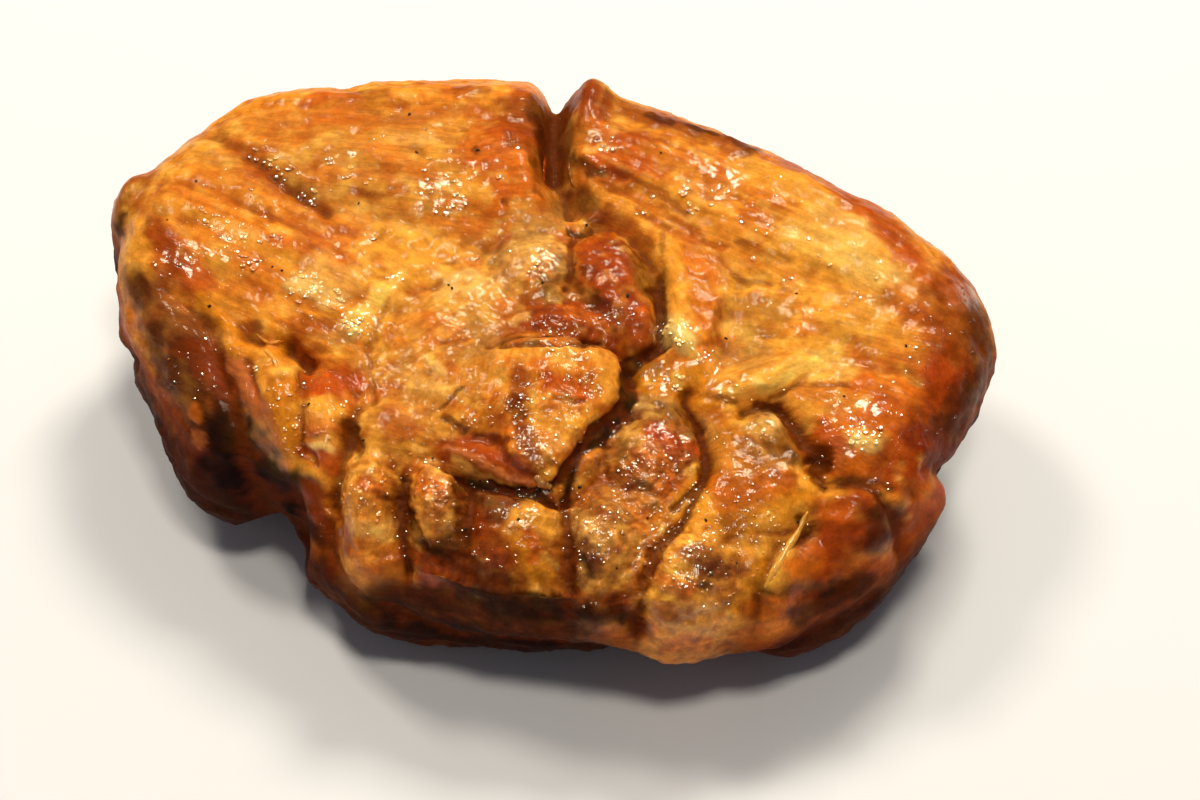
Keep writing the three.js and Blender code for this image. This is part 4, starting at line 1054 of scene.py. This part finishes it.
# Threads of fibre and fat that lie on the meat. Lines: tone, thickness, lift, plan points
threads = {
    "sides": 8, "flatness": 0.75, "endThickness": 0.15, "uneven": 0.18, "crust": 0.1, "wet": 0.6,
    "lines": [
        ("paleFat", 0.62, -0.12, [(40.4, -28.8), (38.4, -33), (36.2, -37.6), (34.0, -42), (32.4, -45.6)]),
        ("tan", 0.38, 0.10, [(-66.8, 2.6), (-65.4, 1.2), (-64.4, 0.6)]),
        ("honey", 0.38, 0.0, [(-49.6, 5.4), (-47.2, 3.6), (-45.2, 4.8)]),
        ("gold", 0.40, -0.05, [(-48.6, 3.0), (-46.8, 1.4), (-45.6, -1.0)]),
        ("greyTan", 0.75, 0.25, [(-3.0, -21.4), (-1.8, -23.4), (-0.4, -24.2)]),
        ("rust", 0.60, -0.2, [(-2.0, 46.4), (-2.3, 42.4), (-1.8, 38.8)]),
        ("brown", 0.50, -0.15, [(1.4, 44.6), (1.6, 40.6), (2.6, 36.6)]),
    ],
}


def threadPath(path, lift):
    # the plan points dropped on the meat, smoothed and raised
    corners = np.array(path, float)
    steps = np.linspace(0, len(corners) - 1, 8 * (len(corners) - 1) + 1)
    spots = [nearestAt(*(np.interp(t, range(len(corners)), corners[:, k]) for k in (0, 1))) for t in steps]
    line, outward = points[spots], normals[spots]
    for _ in range(8):
        line[1:-1] = (line[:-2] + 2 * line[1:-1] + line[2:]) / 4
        outward[1:-1] = (outward[:-2] + 2 * outward[1:-1] + outward[2:]) / 4
    return line + outward * lift, outward


def threadMesh(line, outward, thickness):
    # a round thread, flattened on the meat, thin at both ends
    sides, thin = threads["sides"], threads["endThickness"]
    heading = np.gradient(line, axis=0)
    heading /= np.maximum(np.linalg.norm(heading, axis=1), 1e-9)[:, None]
    across = np.cross(heading, outward)
    across /= np.maximum(np.linalg.norm(across, axis=1), 1e-9)[:, None]
    rise = np.cross(across, heading)
    share = np.linspace(0, 1, len(line))
    girth = thickness * (thin + (1 - thin) * np.sin(math.pi * np.clip(share, 0.02, 0.98)) ** 0.4)
    girth = girth * (1 + threads["uneven"] * np.sin(share * 23 + thickness * 40))
    turn = np.linspace(0, 2 * math.pi, sides, endpoint=False)
    ring = across[:, None] * np.cos(turn)[None, :, None]
    ring = ring + threads["flatness"] * rise[:, None] * np.sin(turn)[None, :, None]
    verts = (line[:, None] + ring * girth[:, None, None]).reshape(-1, 3)
    faces = []
    for i in range(len(line) - 1):
        for j in range(sides):
            a, b = i * sides + j, i * sides + (j + 1) % sides
            faces += [(a, b, b + sides), (a, b + sides, a + sides)]
    first, last = len(verts), len(verts) + 1
    verts = np.concatenate([verts, line[:1], line[-1:]])
    foot = (len(line) - 1) * sides
    for j in range(sides):
        faces += [(first, (j + 1) % sides, j), (last, foot + j, foot + (j + 1) % sides)]
    return verts, np.array(faces)


def joined(parts):
    # lists of (points, triangles, tone) as one mesh
    base, verts, faces, hues = 0, [], [], []
    for partVerts, partFaces, hue in parts:
        verts.append(partVerts)
        faces.append(partFaces + base)
        hues.append(np.tile(hue, (len(partVerts), 1)))
        base += len(partVerts)
    return np.concatenate(verts), np.concatenate(faces), np.concatenate(hues)


threadParts = []
for toneName, thickness, lift, path in threads["lines"]:
    line, outward = threadPath(path, lift)
    threadParts.append((*threadMesh(line, outward, thickness), linear(tones[toneName])))
threadPoints, threadFaces, threadTone = joined(threadParts)
threadCrust, threadWet = (np.full(len(threadPoints), threads[look]) for look in ("crust", "wet"))
threadPiece = makePiece("fat_and_fibre_threads", threadPoints, threadFaces, {
    "crust": threadCrust, "wet": threadWet, "tone": threadTone, "fibrePlace": threadPoints})
print("threads laid:", len(threads["lines"]))

# Beads of juice stand nearly level. Spots: plan position, reach, count, half width
juice = {
    "seed": 41, "upright": 0.8, "outward": 0.6, "lean": 0.22, "sizes": (0.65, 1.65), "lengths": (1.0, 1.5),
    "flatness": 0.17, "tint": 1.08, "paler": 0.01,
    "spots": [
        (-51, 43.6, 3.0, 12, 0.30), (-46.6, 39, 2.4, 10, 0.36), (-42, 34.4, 2.0, 9, 0.46),
        (-38.4, 42.4, 1.2, 3, 0.6), (-35, 39, 2.0, 4, 0.42), (-31.6, 38, 1.6, 3, 0.38),
        (-27, 46, 6.0, 7, 0.34), (-22, 38.6, 4.0, 8, 0.38), (-18, 33, 3.0, 9, 0.36),
        (-12, 39, 3.0, 4, 0.36), (-6.6, 45, 1.0, 1, 0.55), (-31.4, 26.6, 1.0, 2, 0.62),
        (-42.6, 15.6, 3.4, 22, 0.40), (-37, 13.2, 2.4, 10, 0.32), (-26.8, 17.4, 1.8, 8, 0.44),
        (-33.6, 8, 2.6, 14, 0.36), (-51.4, 20.6, 1.8, 4, 0.46), (-54.6, 26, 3.0, 4, 0.32),
        (-66, 20, 3.0, 7, 0.34), (-58, 34, 8.0, 20, 0.34), (-60, 26, 6.0, 14, 0.32),
        (-50, 26, 6.0, 14, 0.34), (-10, 20.6, 4.0, 5, 0.30), (-3, 19.4, 1.8, 6, 0.36),
        (8, 46, 2.2, 7, 0.42), (27.8, 36.2, 1.2, 3, 0.60), (24, 34, 3.4, 8, 0.40),
        (18, 34, 6.0, 8, 0.32), (36, 34, 9.0, 9, 0.28), (40, 24, 8.0, 10, 0.30), (31, 31, 3.0, 4, 0.28),
        (46, 20, 10, 7, 0.24), (19.6, 6.2, 3.0, 20, 0.34), (24.4, 1.6, 1.6, 7, 0.36),
        (17.6, -2.6, 1.6, 5, 0.40), (20.6, -4, 1.6, 4, 0.40), (49.4, -14.4, 3.2, 24, 0.38),
        (45, -10, 3.4, 8, 0.30), (56, -6, 6.0, 8, 0.26), (68, 13.4, 2.0, 4, 0.36),
        (-44, -6, 3.0, 9, 0.30), (-38, -16, 3.6, 12, 0.30), (-43, -14, 2.0, 6, 0.30),
        (29, -6, 3.0, 6, 0.28), (1, 4.6, 5.0, 10, 0.24), (10, 10, 3.0, 16, 0.22),
        (0, 8.6, 5.0, 16, 0.20), (64, 4, 8.0, 26, 0.20), (60, -10, 7.0, 22, 0.20),
        (0, 20, 70, 160, 0.16), (10, -24, 14, 110, 0.20), (-22, -26, 12, 70, 0.20),
        (26, -36, 12, 80, 0.20), (-40, -10, 8, 40, 0.22), (-62, 0, 8, 30, 0.2), (0, -8, 9, 50, 0.20),
        (34, -22, 12, 50, 0.20), (-5.6, -8, 2.4, 20, 0.26), (2, -5, 5.0, 26, 0.20),
        (20, -36, 7.0, 40, 0.20), (-31, -24, 5.0, 26, 0.18), (-4.4, -15, 2.6, 20, 0.26),
        (-1.6, -19, 2.0, 10, 0.26), (-12, -10, 3.0, 10, 0.22), (15, -20, 5.0, 26, 0.24),
        (8, -29, 4.6, 22, 0.24), (5, -35, 4.0, 16, 0.24), (-19, -24, 3.2, 16, 0.26),
        (-6, -28, 3.6, 16, 0.26), (-10, -35, 5.0, 14, 0.24), (20, -38, 6.0, 22, 0.24),
        (26, -44, 4.0, 8, 0.24), (31, -27, 5.0, 7, 0.22), (-30, -26, 4.0, 8, 0.24),
        (52, -26, 4.0, 6, 0.24), (-62, -4, 4.0, 5, 0.24), (-50, 0, 3.0, 5, 0.26),
    ],
}


def laidOn(shape, outward, angle):
    # a small shape turned about, with its top towards outward
    across = np.cross(outward, (math.cos(angle), math.sin(angle), 0.3))
    across /= np.linalg.norm(across)
    return shape @ np.stack([across, np.cross(outward, across), outward])


dice = np.random.default_rng(juice["seed"])
ballPoints, ballFaces = geodesic(2)
beadParts = []
for spotX, spotY, reach, count, halfWidth in juice["spots"]:
    for _ in range(count):
        angle, far = dice.uniform(0, 2 * math.pi), reach * math.sqrt(dice.uniform())
        k = nearestAt(spotX + far * math.cos(angle), spotY + far * math.sin(angle))
        lean = dice.uniform(-juice["lean"], juice["lean"], 2)
        outward = juice["outward"] * normals[k] + np.array([lean[0], lean[1], juice["upright"]])
        outward /= np.linalg.norm(outward)
        size = halfWidth * dice.uniform(*juice["sizes"])
        length = size * dice.uniform(*juice["lengths"])
        bead = ballPoints * np.array([length, size, size * juice["flatness"]])
        hue = np.clip(tone[k] * juice["tint"] + juice["paler"], 0, 1)
        beadParts.append((points[k] + laidOn(bead, outward, angle), ballFaces, hue))
beadPlaces, beadTriangles, beadTone = joined(beadParts)
beadPiece = makePiece("juice_beads", beadPlaces, beadTriangles, {"tone": beadTone})
print("juice beads set:", len(beadParts))

# Flecks of ground pepper and char. Spots: plan positions
pepper = {
    "tone": "nearBlack", "sizes": (0.13, 0.26), "lengths": (1, 1.6), "thickness": 0.6, "rough": 0.35,
    "lift": 0.08,
    "spots": [
        (-46, 19), (38.5, -30.5), (-5.5, -30), (36, -36), (-47.6, 19.6), (-13.6, 44.4), (-9.4, 33.6),
        (-24.4, 44), (-18, 15.4), (-2.4, 16.6), (-17.4, 15), (-12, -22.8), (-19.4, -18.6), (-1.0, -25.0),
        (12, 13.6), (5, 28.4), (28, 5), (40, 14), (33, -17), (24, -30), (29, -38), (-58, 12), (-34, 33),
        (-62, 38), (-26, 53), (18, 44), (44, 29), (58, 4), (47, -6), (-40, -8), (-31, -15), (4, -24),
        (15, -30), (10, -39), (-14, -32), (-66, 30),
    ],
}
fleckParts = []
for spotX, spotY in pepper["spots"]:
    k = nearestAt(spotX, spotY)
    size = dice.uniform(*pepper["sizes"])
    chip = ballPoints * (1 + pepper["rough"] * dice.uniform(-1, 1, (len(ballPoints), 1)))
    chip = chip * np.array([size * dice.uniform(*pepper["lengths"]), size, size * pepper["thickness"]])
    placed = laidOn(chip, normals[k], dice.uniform(0, 2 * math.pi)) + normals[k] * pepper["lift"]
    fleckParts.append((points[k] + placed, ballFaces, linear(tones[pepper["tone"]])))
fleckPlaces, fleckTriangles, fleckTone = joined(fleckParts)
fleckPiece = makePiece("pepper_flecks", fleckPlaces, fleckTriangles, {"tone": fleckTone})
print("pepper flecks set:", len(fleckParts))


def setOrLink(tree, socket, value):
    if isinstance(value, bpy.types.NodeSocket):
        tree.links.new(value, socket)
    else:
        socket.default_value = value


def node(tree, kind, settings=None, **inputs):
    made = tree.nodes.new(kind)
    for key, value in (settings or {}).items():
        setattr(made, key, value)
    for key, value in inputs.items():
        setOrLink(tree, made.inputs[key], value)
    return made


def ramp(tree, source, stops):
    # from low, from high, to low, to high
    made = node(tree, "ShaderNodeMapRange", {"interpolation_type": "SMOOTHSTEP"}, Value=source)
    for key, value in zip(("From Min", "From Max", "To Min", "To Max"), stops):
        made.inputs[key].default_value = value
    return made.outputs["Result"]


def mixed(tree, blend, factor, a, b):
    made = node(tree, "ShaderNodeMix", {"data_type": "RGBA", "blend_type": blend})
    for k, value in ((0, factor), (6, a), (7, b)):
        setOrLink(tree, made.inputs[k], value)
    return made.outputs[2]


def reckoned(tree, operation, *values):
    made = node(tree, "ShaderNodeMath", {"operation": operation})
    for k, value in enumerate(values):
        setOrLink(tree, made.inputs[k], value)
    return made.outputs[0]


def attribute(tree, name, output):
    return node(tree, "ShaderNodeAttribute", {"attribute_name": name}).outputs[output]


def bumped(tree, strength, distance, height, **more):
    return node(tree, "ShaderNodeBump", None, Strength=strength, Distance=distance, Height=height, **more)


def newMaterial(name, fixed):
    # a material, with the values that are the same everywhere set on its shader
    material = bpy.data.materials.new(name)
    material.use_nodes = True
    shader = material.node_tree.nodes["Principled BSDF"]
    for key, value in fixed.items():
        shader.inputs[key].default_value = value
    return material, material.node_tree, shader


meatLook = {
    "streak": 0.09, "broadStreak": 0.14, "speckle": 0.10, "mottleMeat": 0.16, "mottleCrust": 0.50,
    "browner": (0.72, 0.52, 0.36, 1), "lighter": (1.30, 1.32, 1.22, 1),
    "roughDry": 0.60, "roughWet": 0.34, "roughGrain": 0.24,
    "strandScale": (0.16, 2.1, 2.1), "broadScale": (0.09, 0.62, 0.62), "speckScale": 1500.0,
    "pebbleScale": 800.0, "mottleScale": 380.0, "glintScale": 430.0, "fineGlintScale": 1000.0,
    "strandBump": 0.00006, "pebbleBump": 0.00030, "mottleBump": 0.00022, "speckBump": 0.00012,
    "glintBump": 0.00016, "fineGlintBump": 0.00018,
    "shader": {"Coat Roughness": 0.08, "Coat IOR": 1.47, "Specular IOR Level": 0.04,
               "Subsurface Weight": 0.12, "Subsurface Radius": (1.0, 0.32, 0.12),
               "Subsurface Scale": 0.0022},
}


def makeMeatMaterial():
    look = meatLook
    material, tree, shader = newMaterial("greasy_roast_meat", look["shader"])
    link = tree.links.new
    toneIn, wetIn = attribute(tree, "tone", "Color"), attribute(tree, "wet", "Fac")
    crustIn, fibreIn = attribute(tree, "crust", "Fac"), attribute(tree, "fibrePlace", "Vector")
    place = node(tree, "ShaderNodeTexCoord").outputs["Object"]

    def noiseOf(vector, scale, detail, roughness, distortion=0.0):
        return node(tree, "ShaderNodeTexNoise", Vector=vector, Scale=scale, Detail=detail,
                    Roughness=roughness, Distortion=distortion).outputs["Fac"]

    alongFibres = node(tree, "ShaderNodeMapping", Vector=fibreIn, Scale=look["strandScale"]).outputs[0]
    alongBundles = node(tree, "ShaderNodeMapping", Vector=fibreIn, Scale=look["broadScale"]).outputs[0]
    strand = noiseOf(alongFibres, 1.0, 3.0, 0.6)
    broadStrand = noiseOf(alongBundles, 1.0, 4.0, 0.6, 0.4)
    speck = noiseOf(place, look["speckScale"], 3.0, 0.65)
    mottle = noiseOf(place, look["mottleScale"], 4.0, 0.68)
    glint = noiseOf(place, look["glintScale"], 2.0, 0.6)
    fineGlint = noiseOf(place, look["fineGlintScale"], 2.0, 0.6)
    pebble = node(tree, "ShaderNodeTexVoronoi", {"feature": "SMOOTH_F1"}, Vector=place,
                  Scale=look["pebbleScale"], Smoothness=0.6).outputs["Distance"]

    # colour: streaks along the fibres, mottled crust, specks
    streak, broad, speckle = look["streak"], look["broadStreak"], look["speckle"]
    streaks = ramp(tree, strand, (0.35, 0.68, 1.0 + streak * 0.4, 1.0 - streak))
    broadStreaks = ramp(tree, broadStrand, (0.38, 0.62, 1.0 + broad * 0.5, 1.0 - broad))
    specks = ramp(tree, speck, (0.38, 0.66, 1.0 + speckle * 0.5, 1.0 - speckle))
    streaked = mixed(tree, "MULTIPLY", 1.0, mixed(tree, "MULTIPLY", 1.0, toneIn, streaks), broadStreaks)
    mottleShare = ramp(tree, crustIn, (0.0, 1.0, look["mottleMeat"], look["mottleCrust"]))
    browner = mixed(tree, "MULTIPLY", mottleShare, streaked, look["browner"])
    lighter = mixed(tree, "MULTIPLY", mottleShare, streaked, look["lighter"])
    mottled = mixed(tree, "MIX", ramp(tree, mottle, (0.40, 0.62, 1.0, 0.0)), browner, lighter)
    link(mixed(tree, "MULTIPLY", 1.0, mottled, specks), shader.inputs["Base Color"])

    # roughness falls where it is wet
    rough = ramp(tree, wetIn, (0.1, 0.9, look["roughDry"], look["roughWet"]))
    grained = reckoned(tree, "MULTIPLY_ADD", speck, look["roughGrain"], rough)
    link(reckoned(tree, "SUBTRACT", grained, look["roughGrain"] / 2), shader.inputs["Roughness"])

    # relief of the meat under its juices
    strandBump = bumped(tree, 0.9, look["strandBump"], strand).outputs[0]
    pebbleHeight = reckoned(tree, "MULTIPLY", pebble, crustIn)
    pebbleBump = bumped(tree, 0.9, look["pebbleBump"], pebbleHeight, Normal=strandBump)
    pebbleBump.invert = True
    mottleBump = bumped(tree, 0.8, look["mottleBump"], mottle, Normal=pebbleBump.outputs[0]).outputs[0]
    speckBump = bumped(tree, 0.5, look["speckBump"], speck, Normal=mottleBump).outputs[0]
    link(speckBump, shader.inputs["Normal"])

    # juices over it, broken into glints
    glintBump = bumped(tree, 1.0, look["glintBump"], glint, Normal=strandBump).outputs[0]
    fineHeight = reckoned(tree, "MULTIPLY", fineGlint, crustIn)
    fineGlintBump = bumped(tree, 1.0, look["fineGlintBump"], fineHeight, Normal=glintBump).outputs[0]
    link(fineGlintBump, shader.inputs["Coat Normal"])
    link(ramp(tree, wetIn, (0.05, 0.8, 0.02, 1.0)), shader.inputs["Coat Weight"])
    return material


# Small pieces: how a noise tints them, its scale and detail, the range of roughness, the relief
juiceLook = {"name": "clear_juice", "blend": "SOFT_LIGHT", "tint": 0.4, "scale": 900.0, "detail": 2.0,
             "rough": (0.05, 0.12), "bumpStrength": 0.3, "bump": 0.00005,
             "shader": {"Specular IOR Level": 1.0, "IOR": 1.8}}
pepperLook = {"name": "ground_pepper", "blend": "OVERLAY", "tint": 0.6, "scale": 2600.0, "detail": 3.0,
              "rough": (0.45, 0.8), "bumpStrength": 0.7, "bump": 0.00012, "shader": {}}


def makeSmallMaterial(look):
    # the tone of each piece, tinted and roughened by one noise
    material, tree, shader = newMaterial(look["name"], look["shader"])
    place = node(tree, "ShaderNodeTexCoord").outputs["Object"]
    cloud = node(tree, "ShaderNodeTexNoise", Vector=place, Scale=look["scale"], Detail=look["detail"])
    toneIn = attribute(tree, "tone", "Color")
    tinted = mixed(tree, look["blend"], look["tint"], toneIn, cloud.outputs["Color"])
    tree.links.new(tinted, shader.inputs["Base Color"])
    tree.links.new(ramp(tree, cloud.outputs["Fac"], (0.3, 0.7, *look["rough"])), shader.inputs["Roughness"])
    ripple = bumped(tree, look["bumpStrength"], look["bump"], cloud.outputs["Fac"])
    tree.links.new(ripple.outputs[0], shader.inputs["Normal"])
    return material


meatMaterial = makeMeatMaterial()
meat.data.materials.append(meatMaterial)
threadPiece.data.materials.append(meatMaterial)
beadPiece.data.materials.append(makeSmallMaterial(juiceLook))
fleckPiece.data.materials.append(makeSmallMaterial(pepperLook))
print("materials made")

floorLook = {"halfWidth": 3, "shader": {"Base Color": (0.82, 0.82, 0.95, 1), "Roughness": 0.8}}
side = floorLook["halfWidth"]
floorCorners = [(-side, -side, 0), (side, -side, 0), (side, side, 0), (-side, side, 0)]
floorMesh = bpy.data.meshes.new("floor")
floorMesh.from_pydata(floorCorners, [], [(0, 1, 2, 3)])
floor = bpy.data.objects.new("floor", floorMesh)
bpy.context.scene.collection.objects.link(floor)
floorMesh.materials.append(newMaterial("pale_floor", floorLook["shader"])[0])

# Camera: pitch and distance as in the photograph, aimed at a point on the slice
view = {"elevation": 47.0, "lens": 85.0, "sensor": 36.0, "pixelsAcross": 1200, "pixelSize": 0.163,
        "aim": (7.3, -6.2, 36.0)}
elevation = math.radians(view["elevation"])
distance = view["lens"] / view["sensor"] * view["pixelsAcross"] * view["pixelSize"] * metre
aimX, aimY, aimZ = view["aim"]
aim = Vector(((aimX - sliceMiddle[0]) * metre, (aimY - sliceMiddle[1]) * metre, aimZ * metre))
back = Vector((0, -math.cos(elevation), math.sin(elevation)))
camera = bpy.data.objects.new("camera", bpy.data.cameras.new("camera"))
camera.data.lens = view["lens"]
camera.data.clip_start = 0.01
camera.location = aim + back * distance
camera.rotation_euler = back.to_track_quat("Z", "Y").to_euler()
bpy.context.scene.collection.objects.link(camera)
bpy.context.scene.camera = camera

# Lights: three small warm lamps for the glints, a wide one behind on the right, a weak fill
lights = {
    "key": {"from": (0.22, 0.54, 0.80), "size": 0.24, "power": 6.0, "colour": (1.0, 0.93, 0.68)},
    "left": {"from": (-0.42, 0.36, 0.84), "size": 0.22, "power": 3.8, "colour": (1.0, 0.93, 0.70)},
    "front": {"from": (0.10, -0.28, 1.00), "size": 0.18, "power": 3.6, "colour": (1.0, 0.93, 0.70)},
    "window": {"from": (0.30, 0.60, 0.90), "size": 0.80, "power": 1.0, "colour": (1.0, 0.95, 0.80)},
    "fill": {"from": (-0.7, -0.8, 0.7), "size": 0.8, "power": 0.5, "colour": (1.0, 0.96, 0.88)},
}
for name, settings in lights.items():
    lamp = bpy.data.lights.new(name, "AREA")
    lamp.size, lamp.energy, lamp.color = settings["size"], settings["power"], settings["colour"]
    lampObject = bpy.data.objects.new(name, lamp)
    lampObject.location = settings["from"]
    lampObject.rotation_euler = (aim - Vector(settings["from"])).to_track_quat("-Z", "Y").to_euler()
    bpy.context.scene.collection.objects.link(lampObject)

roomLight = {"Color": (1.0, 0.98, 0.96, 1), "Strength": 0.10}
world = bpy.data.worlds.new("studio")
bpy.context.scene.world = world
world.use_nodes = True
for key, value in roomLight.items():
    world.node_tree.nodes["Background"].inputs[key].default_value = value
bpy.context.scene.view_settings.view_transform = "Standard"
bpy.context.scene.view_settings.look = "None"
print("camera, lights and floor placed")
